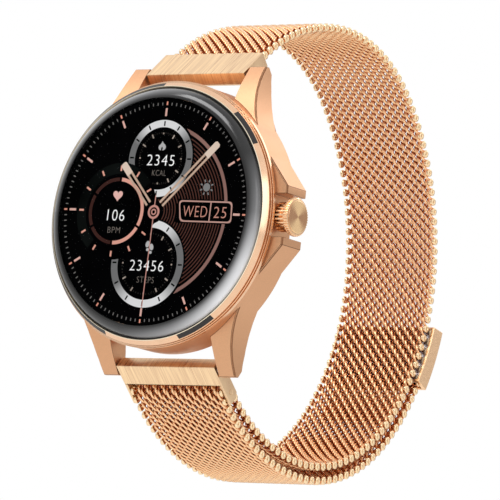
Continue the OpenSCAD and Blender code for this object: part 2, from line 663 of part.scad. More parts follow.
// a band of mesh along spans of [arc, from angle, to angle], with straight ends
function band_side(spans, head, tail, off) = let (
    first = spans[0], last = spans[len(spans) - 1],
    start = centre(first[0]) + (radii[first[0]] + off) * dir(first[1]),
    end = centre(last[0]) + (radii[last[0]] + off) * dir(last[2]))
    concat(head > 0 ? [start - head * dir(first[1] - 90)] : [],
        [for (s = spans) each arc_points(s[0], s[1], s[2], off)], [end],
        tail > 0 ? [end + tail * dir(last[2] - 90)] : []);
module mesh_band(spans, head = 0, tail = 0, off = 0) side_slab(mesh_w)
    polygon(concat(band_side(spans, head, tail, off + mesh_t / 2),
        reversed(band_side(spans, head, tail, off - mesh_t / 2))));
function gap_angle(i, off = 0) = flex_gap / 2 / (radii[i] + off) * 180 / PI;

module strap_upper() color(gold) mesh_band([[0, phi[0], phi[1]], [1, phi[1], phi[2] + gap_angle(1)]],
    head = run_in + pocket_l - seat);
module strap_back() color(gold) mesh_band([[2, phi[2] - gap_angle(2), phi[3] + gap_angle(2)]]);
module strap_lower() color(gold) mesh_band([[3, phi[3] - gap_angle(3), phi[4]], [4, phi[4], phi[5]],
    [5, phi[5], phi[6]]], tail = run_out);
fold_slack = 5;
// the fold goes from the inner layer over the top of the cross bar
module strap_fold() color(gold) {
    a0 = -90 - link_tilt + 180;
    sweep = 180 - flap_open - fold_slack;
    translate([0, bar_low[0], bar_low[1]]) rotate([90, 0, 90]) rotate([0, 0, a0])
        rotate_extrude(angle = sweep, $fn = 96)
            translate([fold_r - mesh_t / 2, -mesh_w / 2]) square([mesh_t, mesh_w]);
}

// ---- flap and clasp ------------------------------------------------------------------------

function arc_deg(l, r) = l / r * 180 / PI;
clasp_clear = 0.12;
clasp_t = layer + clasp_cover - clasp_clear;
clasp_w = strap_w + clasp_margin;
clasp_r = radii[3] + mesh_t / 2 + clasp_clear + clasp_t / 2;
clasp_a0 = -clasp_from;
clasp_a1 = clasp_a0 - arc_deg(clasp_len, clasp_r);
mesh_end_a = clasp_a0 - arc_deg(clasp_len * 0.55, clasp_r);
module strap_flap() color(gold) mesh_band([[3, mesh_end_a, phi[4]], [4, phi[4], phi[5]],
    [5, phi[5], phi[6]]], tail = run_out, off = layer);
module clasp_arc(a0, a1, r0, r1, w) {
    c = centre(3);
    translate([0, c[0], c[1]]) rotate([90, 0, 90]) rotate([0, 0, a1])
        rotate_extrude(angle = a0 - a1, $fn = 240) translate([r0, -w / 2]) square([r1 - r0, w]);
}
clasp_in_r = clasp_r - clasp_t / 2;
clasp_out_r = clasp_r + clasp_t / 2;
clasp_plate_t = 0.45;
wall_a = arc_deg(clasp_wall, clasp_r);
module clasp_shell() color(bright) difference() {
    clasp_arc(clasp_a0, clasp_a1, clasp_in_r, clasp_out_r, clasp_w);
    // hollow for the magnets and the mesh end, open towards the wrist
    clasp_arc(clasp_a0 - wall_a, clasp_a1 + wall_a, clasp_in_r - 1, clasp_out_r - clasp_wall,
        clasp_w - 2 * clasp_wall);
    // mouth for the mesh
    clasp_arc(clasp_a0 - 3 * wall_a, clasp_a1 - 1, radii[3] + layer - pocket_t / 2,
        radii[3] + layer + pocket_t / 2, pocket_w);
}
module clasp_plate() color(steel) clasp_arc(clasp_a0 - wall_a - 0.03, clasp_a1 + wall_a + 0.03,
    clasp_in_r + small, clasp_in_r + clasp_plate_t, clasp_w - 2 * clasp_wall - 0.04);
magnet_count = 4;
magnet_gap = 0.4;
module clasp_magnets() color("#6f7278") {
    span = clasp_w - 2 * clasp_wall - 0.2;
    w = (span - (magnet_count - 1) * magnet_gap) / magnet_count;
    for (i = [0 : magnet_count - 1])
        translate([-span / 2 + w / 2 + i * (w + magnet_gap), 0, 0])
            clasp_arc(clasp_a0 - wall_a - 0.1, mesh_end_a + 0.35, clasp_in_r + clasp_plate_t + 0.05,
                clasp_out_r - clasp_wall - 0.05, w);
}

mid_case();
bezel_ring();
bezel_inlays();
cover_glass();
glass_gasket();
display_panel();
inner_chassis();
main_board();
battery();
vibration_motor();
speaker();
rear_cover();
rear_seal();
rear_screws();
sensor_window();
sensor_board();
charging_contacts();
charging_magnets();
crown_tube();
crown_knob();
crown_cap();
crown_stem();
crown_seal();
crown_collar();
crown_guide();
crown_switch();
spring_bar_tubes();
spring_bar_springs();
tip_top_left();
tip_top_right();
tip_bottom_left();
tip_bottom_right();
top_end_link();
strap_upper();
strap_back();
strap_lower();
strap_fold();
clasp_ring();
ring_cross_bar();
strap_flap();
clasp_shell();
clasp_plate();
clasp_magnets();
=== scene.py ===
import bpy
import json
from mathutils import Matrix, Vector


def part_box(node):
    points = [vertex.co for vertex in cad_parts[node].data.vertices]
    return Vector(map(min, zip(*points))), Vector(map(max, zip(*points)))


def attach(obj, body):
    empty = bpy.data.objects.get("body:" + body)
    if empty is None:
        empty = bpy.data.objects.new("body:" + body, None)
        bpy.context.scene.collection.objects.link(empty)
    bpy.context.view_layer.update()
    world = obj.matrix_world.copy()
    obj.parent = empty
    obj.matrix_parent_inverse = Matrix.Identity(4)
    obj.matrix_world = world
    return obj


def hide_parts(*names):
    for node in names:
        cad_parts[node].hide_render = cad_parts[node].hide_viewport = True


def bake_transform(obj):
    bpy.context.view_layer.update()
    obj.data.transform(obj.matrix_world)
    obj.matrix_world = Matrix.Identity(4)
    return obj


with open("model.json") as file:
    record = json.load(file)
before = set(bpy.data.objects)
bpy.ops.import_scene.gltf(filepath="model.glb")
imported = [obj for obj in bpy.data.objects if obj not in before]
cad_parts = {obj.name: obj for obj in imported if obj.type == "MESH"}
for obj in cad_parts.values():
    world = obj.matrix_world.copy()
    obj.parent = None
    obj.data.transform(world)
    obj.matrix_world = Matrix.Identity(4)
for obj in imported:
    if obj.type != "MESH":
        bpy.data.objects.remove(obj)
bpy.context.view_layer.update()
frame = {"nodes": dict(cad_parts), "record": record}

import json
import math

import bmesh
import bpy
import numpy as np
from bpy.props import FloatProperty, FloatVectorProperty, IntProperty, PointerProperty
from bpy.types import Operator, Panel, PropertyGroup
from mathutils import Matrix, Vector

bl_info = {
    "name": "Smartwatch looks",
    "version": (1, 0, 0),
    "blender": (4, 5, 0),
    "location": "3D View > Sidebar > Watch",
    "description": "Dresses the watch: case, bezel, glass, dial, crown, links, mesh and clasp",
    "category": "Object",
}

MM = 0.001
BAR_LO, BAR_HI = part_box("spring_bar_tubes")
FOLD_LO, FOLD_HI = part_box("ring_cross_bar")
GLASS_LO, GLASS_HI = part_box("cover_glass")
KNOB_LO, KNOB_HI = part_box("crown_knob")
CAP_LO, CAP_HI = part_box("crown_cap")
STRAP_LO, STRAP_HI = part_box("strap_upper")
_, DISPLAY_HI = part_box("display_panel")


def linear(text):
    """A colour written as six hex digits, as linear red, green and blue."""
    values = [int(text[i:i + 2], 16) / 255 for i in (0, 2, 4)]
    return tuple(v / 12.92 if v <= 0.04045 else ((v + 0.055) / 1.055) ** 2.4 for v in values)


def size(label, text, default, unit="LENGTH"):
    """A length property in metres, or a plain number where unit is NONE."""
    return FloatProperty(name=label, description=text, default=default, precision=5, unit=unit)


def colour(label, text, default):
    return FloatVectorProperty(name=label, description=text, default=linear(default),
                               subtype="COLOR", size=3, min=0, max=1)


# ---- sizes and colours that a user would change ----------------------------------------------

class WATCH_PG_mesh(PropertyGroup):
    width: size("Mesh width", "Width of the woven mesh", STRAP_HI.x - STRAP_LO.x)
    thickness: size("Mesh thickness", "Thickness of one layer of mesh", 1.46 * MM)
    layer_gap: size("Layer gap", "Gap between the inner and the outer layer", 0.92 * MM)
    column_pitch: size("Column pitch", "Pitch of each coil across the mesh", 1.72 * MM)
    row_pitch: size("Row pitch", "Distance between one coil and the next", 0.87 * MM)
    wire_radius: size("Wire radius", "Radius of the woven wire", 0.25 * MM)
    reach: size("Coil reach", "Half the length of a coil along the strap", 0.92 * MM)
    shoulder_upper: size("Upper shoulder radius", "Bend of the loop's upper shoulder", 29.2 * MM)
    back_upper: size("Upper back radius", "Bend of the loop's upper back", 42 * MM)
    back_lower: size("Lower back radius", "Bend of the loop's lower back", 38.8 * MM)
    shoulder_lower: size("Lower shoulder radius", "Bend of the loop's lower shoulder", 31.2 * MM)
    link_tilt: size("Link tilt", "Tilt of both links from the wrist direction",
                    math.radians(42), "ROTATION")
    outer_length: size("Outer layer length", "Length of the layer that folds back", 71.5 * MM)


class WATCH_PG_dial(PropertyGroup):
    radius: size("Dial radius", "Radius of the drawn dial", 18.6 * MM)
    brightness: size("Brightness", "Light that the display gives", 1.0, "NONE")
    turned: size("Turn", "Turn of the drawn dial in its case", math.radians(-1.7), "ROTATION")
    minute_marks: IntProperty(name="Small marks", description="Small marks round the dial",
                              default=120)
    hour_angle: size("Hour hand", "Angle of the hour hand from 3 o'clock", math.radians(133),
                     "ROTATION")
    minute_angle: size("Minute hand", "Angle of the minute hand", math.radians(45.8), "ROTATION")


class WATCH_PG_finish(PropertyGroup):
    satin: colour("Satin gold", "Blasted case metal", "d4a27c")
    polished: colour("Polished gold", "Polished bezel metal", "ecc2a0")
    brushed: colour("Brushed gold", "Brushed links and clasp", "f5cca3")
    wire: colour("Mesh gold", "Outer faces of the woven wire", "ffd0a0")
    # painted shade: the colour of wire that lies deep in the mesh, in shadow
    wire_painted_shade: colour("Deep mesh gold", "Woven wire deep inside the mesh", "cc743e")


class WATCH_PG_stage(PropertyGroup):
    distance: size("Camera distance", "Distance from the dial to the camera", 0.85)
    lens: size("Lens", "Focal length in millimetres", 370.8, "NONE")
    floor_depth: size("Floor depth", "How far the floor lies below the dial's centre", 0.2)


GROUPS = {"watch_mesh": WATCH_PG_mesh, "watch_dial": WATCH_PG_dial,
          "watch_finish": WATCH_PG_finish, "watch_stage": WATCH_PG_stage}


# ---- small helpers ----------------------------------------------------------------------------

def turn(x, y, angle):
    """A flat point turned anticlockwise about the origin."""
    c, s = math.cos(angle), math.sin(angle)
    return x * c - y * s, x * s + y * c


def inked(x, z, h):
    """A point of the drawn dial, in dial units, turned as the dial stands in its case."""
    dial = bpy.context.scene.watch_dial
    x, z = turn(x, z, dial.turned)
    return (x * dial.radius, -h, z * dial.radius)


def on_dial(r, a, h):
    """A point at radius r and angle a from 3 o'clock, h above the sensor window."""
    return (r * math.cos(a), -h, r * math.sin(a))


def tidy_mesh(mesh, crease=24):
    """Merges doubles, points faces outwards, and keeps edges sharper than crease hard."""
    b = bmesh.new()
    b.from_mesh(mesh)
    bmesh.ops.remove_doubles(b, verts=b.verts, dist=1e-7)
    bmesh.ops.recalc_face_normals(b, faces=b.faces)
    limit = math.radians(crease)
    for face in b.faces:
        face.smooth = True
    for edge in b.edges:
        edge.smooth = len(edge.link_faces) == 2 and edge.calc_face_angle(0) < limit
    b.to_mesh(mesh)
    b.free()


def paint(mesh, materials):
    """Gives a mesh its materials and keeps which face has which."""
    marks = np.zeros(len(mesh.polygons), np.int32)
    mesh.polygons.foreach_get("material_index", marks)
    mesh.materials.clear()
    for m in materials:
        mesh.materials.append(m)
    mesh.polygons.foreach_set("material_index", np.minimum(marks, len(materials) - 1))


def add_piece(name, mesh, body, slot, stands_for=(), material=None):
    obj = bpy.data.objects.new(name, mesh)
    bpy.context.scene.collection.objects.link(obj)
    paint(mesh, material if isinstance(material, list) else [material or skin(slot)])
    if body:
        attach(obj, body)
    if stands_for:
        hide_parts(*stands_for)
    return obj


def build(name, verts, faces, body, slot, stands_for=(), material=None, crease=24, marks=None):
    mesh = bpy.data.meshes.new(name)
    mesh.from_pydata([tuple(v) for v in verts], [], faces)
    if marks:
        mesh.polygons.foreach_set("material_index", marks)
    tidy_mesh(mesh, crease)
    return add_piece(name, mesh, body, slot, stands_for, material)


def lathe(rings, closed_turn=True):
    """Verts and quads of rings, each a closed list of points in the same order."""
    n = len(rings[0])
    verts = [p for ring in rings for p in ring]
    faces = []
    for i in range(len(rings) if closed_turn else len(rings) - 1):
        j = (i + 1) % len(rings)
        for k in range(n):
            m = (k + 1) % n
            faces.append((i * n + k, i * n + m, j * n + m, j * n + k))
    if not closed_turn:
        faces += [tuple(range(n)), tuple((len(rings) - 1) * n + k for k in range(n))]
    return verts, faces


def angles(count):
    return [2 * math.pi * i / count for i in range(count)]


HARD_EDGE = math.radians(28)
SAME_PLANE = math.radians(0.4)


def chamfered(name, node, body, slot, width, material=None):
    """A copy of a CAD node with its hard edges lightly broken, as plating leaves them."""
    mesh = frame["nodes"][node].data.copy()
    mesh.name = name
    b = bmesh.new()
    b.from_mesh(mesh)
    bmesh.ops.remove_doubles(b, verts=b.verts, dist=2e-6)
    bmesh.ops.dissolve_limit(b, angle_limit=SAME_PLANE, verts=b.verts, edges=b.edges,
                             use_dissolve_boundaries=False)
    edges = [e for e in b.edges if len(e.link_faces) == 2 and e.calc_face_angle(0) > HARD_EDGE]
    # chamfer faces take the second material, which on the case is a painted dark reflection
    bmesh.ops.bevel(b, geom=edges, offset=width, offset_type="OFFSET", segments=1, affect="EDGES",
                    profile=0.5, clamp_overlap=False, miter_outer="SHARP",
                    material=1 if isinstance(material, list) else -1)
    b.to_mesh(mesh)
    b.free()
    for layer in list(mesh.uv_layers):
        mesh.uv_layers.remove(layer)
    if mesh.attributes.get("custom_normal"):
        mesh.attributes.remove(mesh.attributes["custom_normal"])
    tidy_mesh(mesh)
    return add_piece(name, mesh, body, slot, (node,), material)


class Wires:
    """Short ways to add nodes to a shader or geometry tree and join them."""

    def __init__(self, tree):
        self.tree = tree

    def join(self, value, socket):
        if isinstance(value, bpy.types.NodeSocket):
            self.tree.links.new(value, socket)
        else:
            socket.default_value = value

    def fill(self, node, **inputs):
        """Joins or sets a node's inputs, whose names have underscores for spaces."""
        for label, value in inputs.items():
            self.join(value, node.inputs[label.replace("_", " ")])
        return node

    def node(self, kind, **inputs):
        return self.fill(self.tree.nodes.new(kind), **inputs)

    def add(self, kind, result, **inputs):
        return self.node(kind, **inputs).outputs[result]

    def in_order(self, kind, *values, **settings):
        """A new node with its settings made, whose first inputs are the values."""
        node = self.tree.nodes.new(kind)
        for name, setting in settings.items():
            setattr(node, name, setting)
        for value, socket in zip(values, node.inputs):
            self.join(value, socket)
        return node

    def math(self, operation, *values):
        return self.in_order("ShaderNodeMath", *values, operation=operation).outputs["Value"]

    def plus(self, a, b):
        return self.math("ADD", a, b)

    def minus(self, a, b):
        return self.math("SUBTRACT", a, b)

    def times(self, a, b):
        return self.math("MULTIPLY", a, b)

    def over(self, a, b):
        return self.math("DIVIDE", a, b)

    def vector(self, x, y, z):
        return self.in_order("ShaderNodeCombineXYZ", x, y, z).outputs["Vector"]

    def vmath(self, operation, *values, result="Vector", **inputs):
        node = self.in_order("ShaderNodeVectorMath", *values, operation=operation)
        return self.fill(node, **inputs).outputs[result]

    def axes(self, vector):
        """The sockets X, Y and Z of a vector."""
        return self.node("ShaderNodeSeparateXYZ", Vector=vector).outputs

    def own_place(self):
        return self.add("ShaderNodeTexCoord", "Object")

    def point_axes(self):
        """The sockets X, Y and Z of each point's position."""
        return self.axes(self.add("GeometryNodeInputPosition", "Position"))

    def moved(self, geometry, position):
        return self.add("GeometryNodeSetPosition", "Geometry", Geometry=geometry,
                        Position=position)

    def circle(self, sides, radius):
        return self.add("GeometryNodeCurvePrimitiveCircle", "Curve", Resolution=sides,
                        Radius=radius)

    def copies(self, points, instance, **inputs):
        return self.add("GeometryNodeInstanceOnPoints", "Instances", Points=points,
                        Instance=instance, **inputs)

    def painted(self, geometry, material):
        return self.add("GeometryNodeSetMaterial", "Geometry", Geometry=geometry,
                        Material=material)

    def index(self):
        return self.add("GeometryNodeInputIndex", "Index")


# ---- materials ---------------------------------------------------------------------------------

def shade(tint, share):
    return tuple(min(1.0, max(0.0, c * share)) for c in tint) + (1.0,)


def new_material(name):
    """A material, its wires and its shader."""
    m = bpy.data.materials.new(name)
    m.use_nodes = True
    return m, Wires(m.node_tree), m.node_tree.nodes["Principled BSDF"]


def pattern(w, scale, stretch=(1, 1, 1), detail=4.0):
    """Noise on the piece's own coordinates, stretched."""
    place = w.add("ShaderNodeMapping", "Vector", Vector=w.own_place(), Scale=stretch)
    return w.add("ShaderNodeTexNoise", "Fac", Vector=place, Scale=scale, Detail=detail)


def two_tone(w, source, low, high, at=(0.3, 0.7)):
    """A colour that goes from low to high between the two places in at."""
    ramp = w.node("ShaderNodeValToRGB", Fac=source)
    first, last = ramp.color_ramp.elements
    first.position, last.position = at
    first.color, last.color = low, high
    return ramp.outputs["Color"]


def spread(w, source, low, high):
    """The middle half of a noise, stretched from low to high."""
    return w.add("ShaderNodeMapRange", "Result", Value=source, From_Min=0.25, From_Max=0.75,
                 To_Min=low, To_Max=high)


def add_relief(w, shader, source, strength, height):
    w.fill(shader, Normal=w.add("ShaderNodeBump", "Normal", Height=source, Strength=strength,
                                Distance=height))


def finish(name, tint, scale, metallic=1.0, rough=(0.3, 0.4), tone=0.08, stretch=(1, 1, 1),
           bump=0.0, height=1e-5):
    """A material whose colour, roughness and fine relief follow one stretched noise."""
    m, w, shader = new_material(name)
    noise = pattern(w, scale, stretch)
    w.fill(shader, Base_Color=two_tone(w, noise, shade(tint, 1 - tone), shade(tint, 1 + tone)),
           Roughness=spread(w, noise, *rough), Metallic=metallic)
    if bump:
        add_relief(w, shader, noise, bump, height)
    return m


def satin_gold():
    return finish("satin_gold", tuple(bpy.context.scene.watch_finish.satin), 5200,
                  rough=(0.34, 0.46), tone=0.06, bump=0.35, height=6e-6)


def polished_gold():
    return finish("polished_gold", tuple(bpy.context.scene.watch_finish.polished), 900,
                  rough=(0.16, 0.24), tone=0.03)


def mirror_gold():
    return finish("mirror_gold", linear("fff0d6"), 700, rough=(0.26, 0.34), tone=0.03)


# A painted dark reflection: a thin dark line on the chamfers along the case's broken edges
def painted_edge_reflection():
    return finish("painted_edge_reflection", linear("7d5a42"), 2600, rough=(0.3, 0.4), tone=0.1)


def brushed_gold():
    return finish("brushed_gold", tuple(bpy.context.scene.watch_finish.brushed), 900,
                  rough=(0.24, 0.42), tone=0.22, stretch=(5, 0.14, 0.14), bump=0.3, height=9e-6)


def clasp_gold():
    return finish("clasp_gold", tuple(bpy.context.scene.watch_finish.brushed), 900,
                  rough=(0.2, 0.36), tone=0.1, stretch=(0.16, 5, 5), bump=0.2, height=6e-6)


def wire_gold():
    """Bright on the wire's outer faces, with painted shade, dark and red, where it dives into the
    mesh.
    """
    colours = bpy.context.scene.watch_finish
    m, w, shader = new_material("wire_gold")
    noise = pattern(w, 1800)
    raised = w.in_order("ShaderNodeAttribute", attribute_name="raised")
    # painted shade: the wire darkens and reddens the deeper it lies in the mesh
    level = w.math("MULTIPLY_ADD", noise, 0.12, raised.outputs["Fac"])
    w.fill(shader, Base_Color=two_tone(w, level, shade(colours.wire_painted_shade, 1),
                                       shade(colours.wire, 1), (0.4, 0.95)),
           Roughness=spread(w, noise, 0.2, 0.32), Metallic=1.0)
    return m


def edge_gold():
    return finish("edge_gold", linear("fddcb2"), 1500, rough=(0.16, 0.26), tone=0.06)


def crown_gold():
    return finish("crown_gold", tuple(bpy.context.scene.watch_finish.brushed), 3000,
                  rough=(0.14, 0.22), tone=0.05)


def around(w, axis, centre_h=0.0):
    """Radius and angle round the dial axis (Y) or the crown axis (X), in the piece's own place."""
    place = w.axes(w.own_place())
    first = place["X"] if axis == "Y" else w.plus(place["Y"], centre_h)
    radius = w.vmath("LENGTH", w.vector(first, place["Z"], 0.0), result="Value")
    return radius, w.math("ARCTAN2", place["Z"], first)


def spun(name, tint, axis, centre_h=0.0, tone=0.12, rough=(0.16, 0.3), painted_sheen=0.35):
    """Fine turned circles, and broad bright and dark sectors of painted sheen round the axis."""
    m, w, shader = new_material(name)
    radius, angle = around(w, axis, centre_h)
    rings = w.in_order("ShaderNodeTexNoise", noise_dimensions="1D")
    circles = w.fill(rings, Scale=9000, W=radius).outputs["Fac"]
    # painted sheen: colour lighter and darker in two opposite sectors each way round the axis
    level = w.math("MULTIPLY_ADD", w.math("COSINE", w.times(angle, 2.0)), painted_sheen, circles)
    w.fill(shader, Base_Color=two_tone(w, level, shade(tint, 1 - tone), shade(tint, 1 + tone),
                                       (0.1, 0.9)),
           Roughness=spread(w, circles, *rough), Metallic=1.0)
    add_relief(w, shader, circles, 0.25, 6e-6)
    return m


def glow(name, tint, dim=0.75, sectors_round=None):
    """A lit part of the display. Its light varies gently, or in sectors round a height on it."""
    m, w, shader = new_material(name)
    if sectors_round is None:
        source = pattern(w, 180, detail=1.0)
    else:
        place = w.axes(w.own_place())
        angle = w.math("ARCTAN2", w.minus(place["Z"], sectors_round), place["X"])
        source = w.math("MULTIPLY_ADD", w.math("COSINE", w.times(angle, 2.0)), -0.5, 0.5)
    light = two_tone(w, source, shade(tint, dim), shade(tint, 1.0), (0.2, 0.8))
    w.fill(shader, Base_Color=(0, 0, 0, 1), Emission_Color=light, Specular_IOR_Level=0.0,
           Emission_Strength=bpy.context.scene.watch_dial.brightness, Roughness=1.0)
    return m


def clear_glass():
    m, w, shader = new_material("clear_glass")
    noise = pattern(w, 60, detail=2.0)
    w.fill(shader, Base_Color=two_tone(w, noise, (0.985, 0.99, 1, 1), (1, 1, 1, 1)),
           Roughness=spread(w, noise, 0.02, 0.04), Transmission_Weight=1.0, IOR=1.02)
    return m


def rim_glass():
    """Smoked glass: nearly black, with a painted silver reflection in sectors that fades inwards.
    """
    m, w, shader = new_material("rim_glass")
    radius, angle = around(w, "Y")
    share = w.math("MULTIPLY_ADD", angle, 0.5 / math.pi, 0.5)
    # painted reflection: grey to silver in sectors round the rim
    painted_reflection = w.node("ShaderNodeValToRGB", Fac=share)
    ramp = painted_reflection.color_ramp
    for at, value in PAINTED_RIM_REFLECTION:
        ramp.elements.new(at).color = (value, value, value * 1.03, 1)
    ramp.elements.remove(ramp.elements[0])
    ramp.elements.remove(ramp.elements[-1])
    # the painted reflection fades from the rim's outer edge towards the clear glass
    fall = w.in_order("ShaderNodeMapRange", interpolation_type="SMOOTHSTEP")
    w.fill(fall, Value=radius, From_Min=CLEAR_R, From_Max=GLASS_R, To_Min=0.03)
    noise = pattern(w, 90, detail=2.0)
    w.fill(shader, Base_Color=w.vmath("SCALE", painted_reflection.outputs["Color"],
                                      Scale=fall.outputs["Result"]),
           Roughness=spread(w, noise, 0.12, 0.18), IOR=1.5)
    return m


def tinted_window():
    m, w, shader = new_material("tinted_window")
    noise = pattern(w, 300, detail=2.0)
    w.fill(shader, Base_Color=two_tone(w, noise, (0.03, 0.03, 0.036, 1), (0.05, 0.05, 0.06, 1)),
           Roughness=spread(w, noise, 0.03, 0.07), Transmission_Weight=0.85, IOR=1.5)
    return m


def board_green():
    m, w, shader = new_material("board_green")
    noise = pattern(w, 700, (1, 1, 4))
    cells = w.add("ShaderNodeTexVoronoi", "Distance", Vector=w.own_place(), Scale=900)
    w.fill(shader, Base_Color=two_tone(w, w.times(noise, cells), (0.01, 0.09, 0.05, 1),
                                       (0.03, 0.22, 0.11, 1), (0.1, 0.4)),
           Roughness=spread(w, noise, 0.35, 0.5))
    return m


SKINS = {
    "satin_case": satin_gold,
    "polished_bezel": polished_gold,
    "dark_inlay": lambda: finish("dark_inlay", linear("1a1310"), 900, metallic=0.0,
                                 rough=(0.3, 0.45), tone=0.25, stretch=(4, 4, 0.4)),
    "glass": clear_glass,
    "black_rubber": lambda: finish("black_rubber", (0.012, 0.012, 0.012), 3000, metallic=0.0,
                                   rough=(0.5, 0.7), tone=0.3, bump=0.3),
    "display": lambda: glow("display_black", (0.0012, 0.0012, 0.0014), 0.5),
    "chassis_metal": lambda: finish("chassis_metal", (0.45, 0.46, 0.48), 1600, rough=(0.4, 0.55),
                                    tone=0.1, bump=0.2),
    "board_green": board_green,
    "cell_grey": lambda: finish("cell_grey", (0.12, 0.13, 0.15), 900, metallic=0.0,
                                rough=(0.35, 0.5), tone=0.15, bump=0.2),
    "steel": lambda: finish("steel", (0.62, 0.62, 0.64), 1800, rough=(0.2, 0.32), tone=0.06,
                            stretch=(3, 1, 3)),
    "black_plastic": lambda: finish("black_plastic", (0.03, 0.03, 0.032), 2600, metallic=0.0,
                                    rough=(0.4, 0.55), tone=0.2, bump=0.3),
    # rear_shell and spun_gold carry painted sheen in bright and dark sectors
    "rear_shell": lambda: spun("rear_shell", linear("b9805e"), "Y", rough=(0.34, 0.48), painted_sheen=0.2,
                               tone=0.08),
    "dark_window": tinted_window,
    "gold_contact": lambda: finish("gold_contact", linear("eec58c"), 2200, rough=(0.15, 0.25),
                                   tone=0.05),
    "crown_gold": crown_gold,
    "spun_gold": lambda: spun("spun_gold", linear("f2b98c"), "X", centre_h=CROWN_H, painted_sheen=-0.6,
                              tone=0.4),
    "brushed_gold": brushed_gold,
    "mesh_gold": wire_gold,
}
MADE = {}
# Painted reflection round the glass's rim: places as shares of a turn from 9 o'clock
# anticlockwise, and their brightness
PAINTED_RIM_REFLECTION = [(0.02, 0.22), (0.1, 0.05), (0.22, 0.07), (0.3, 0.35), (0.38, 0.8), (0.43, 0.75),
             (0.5, 0.2), (0.58, 0.015), (0.68, 0.015), (0.76, 0.2), (0.87, 0.5), (0.98, 0.28)]


def skin(slot):
    """The material of a slot, made when it is first asked for."""
    if slot not in MADE:
        MADE[slot] = SKINS[slot]()
    return MADE[slot]


# ---- bezel, glass and display ------------------------------------------------------------------

GASKET_OUT = 21.12 * MM
CREST_R = 21.32 * MM
CREST_H = 9.9 * MM
FLAT_R = 22.07 * MM
FLAT_H = 9.1 * MM
STEP = 0.2 * MM
STEP_FALL = 0.35 * MM
GROOVE = 0.12 * MM
INLAY_MARGIN = 0.07 * MM
INLAY_DEPTH = 0.25 * MM
INLAY_GAP = 0.012 * MM
INLAY_SUNK = 0.02 * MM
INLAY_FLOOR_GAP = 0.03 * MM
# Where each inlay starts and ends, in degrees anticlockwise from 3 o'clock
INLAY_SPANS = [(32, 50.5), (93, 248), (288, 307.5)]
INLAY_STEP = 1.25
BEZEL_STEPS = 288
BEZEL_INNER_R = 19.15 * MM
# The faces round the bezel's crest, counted along its section
CREST_FACES = (1, 2, 3)
SEAT_H = 8.8 * MM
BARREL_TOP_H = 7.9 * MM
GLASS_FLAT_R = 18.9 * MM
CLEAR_R = 19.15 * MM
GLASS_R = GLASS_HI.x
GLASS_TOP_H = -GLASS_LO.y
GLASS_IN_H = 10.6 * MM
RIM_H = 9.6 * MM


def bezel_profile(sunk):
    """The bezel's section, with the flat ring sunk where an inlay lies."""
    fall = (CREST_H - FLAT_H) / (FLAT_R - CREST_R)
    r0, r1 = CREST_R + INLAY_MARGIN, FLAT_R - INLAY_MARGIN
    h0, h1 = CREST_H - fall * INLAY_MARGIN, FLAT_H + fall * INLAY_MARGIN
    depth = INLAY_DEPTH if sunk else 0.0
    step1, step2 = FLAT_H - STEP_FALL, FLAT_H - 2 * STEP_FALL
    soft = 0.03 * MM
    return [(GASKET_OUT, SEAT_H), (GASKET_OUT, CREST_H - STEP_FALL),
            (CREST_R - soft, CREST_H), (CREST_R + soft, CREST_H), (r0, h0), (r0, h0 - depth),
            (r1, h1 - depth), (r1, h1), (FLAT_R - soft, FLAT_H + fall * soft),
            (FLAT_R, FLAT_H - soft), (FLAT_R, step1 + GROOVE),
            (FLAT_R - GROOVE, step1 + GROOVE), (FLAT_R - GROOVE, step1),
            (FLAT_R + STEP - soft, step1), (FLAT_R + STEP, step1 - soft),
            (FLAT_R + STEP, step2 + GROOVE), (FLAT_R + STEP - GROOVE, step2 + GROOVE),
            (FLAT_R + STEP - GROOVE, step2), (FLAT_R + 2 * STEP - soft, step2),
            (FLAT_R + 2 * STEP, step2 - soft), (FLAT_R + 2 * STEP, BARREL_TOP_H),
            (BEZEL_INNER_R, BARREL_TOP_H), (BEZEL_INNER_R, SEAT_H)]


def make_bezel():
    """Turns the section round the dial. The ring is doubled at both ends of each pocket."""
    opens = [math.radians(start) for start, _ in INLAY_SPANS]
    edges = sorted(math.radians(a) for span in INLAY_SPANS for a in span)
    near = math.radians(INLAY_STEP) / 3
    grid = [a for a in angles(BEZEL_STEPS) if all(abs(a - e) > near for e in edges)]
    turns = []
    for a in sorted(grid + edges):
        if a in edges:
            turns += [(a, a not in opens), (a, a in opens)]
        else:
            turns.append((a, any(math.radians(s) < a < math.radians(e)
                                 for s, e in INLAY_SPANS)))
    rings = [[on_dial(r, a, h) for r, h in bezel_profile(sunk)] for a, sunk in turns]
    verts, faces = lathe(rings)
    marks = [1 if i % len(rings[0]) in CREST_FACES else 0 for i in range(len(faces))]
    build("bezel", verts, faces, "case", "polished_bezel", ("bezel_ring",),
          [skin("polished_bezel"), mirror_gold()], 20, marks)


def make_inlays():
    fall = (CREST_H - FLAT_H) / (FLAT_R - CREST_R)
    r0, r1 = CREST_R + INLAY_MARGIN + INLAY_GAP, FLAT_R - INLAY_MARGIN - INLAY_GAP
    top0 = CREST_H - fall * (r0 - CREST_R) - INLAY_SUNK
    top1 = CREST_H - fall * (r1 - CREST_R) - INLAY_SUNK
    depth = INLAY_DEPTH - INLAY_FLOOR_GAP
    section = [(r0, top0 - depth), (r1, top1 - depth), (r1, top1), (r0, top0)]
    verts, faces = [], []
    for start, end in INLAY_SPANS:
        a0, a1 = math.radians(start) + INLAY_GAP / r1, math.radians(end) - INLAY_GAP / r1
        n = max(8, int((end - start) / INLAY_STEP))
        v, f = lathe([[on_dial(r, a0 + (a1 - a0) * i / n, h) for r, h in section]
                      for i in range(n + 1)], closed_turn=False)
        faces += [tuple(k + len(verts) for k in face) for face in f]
        verts += v
    build("bezel_inlay", verts, faces, "case", "dark_inlay", ("bezel_inlays",))


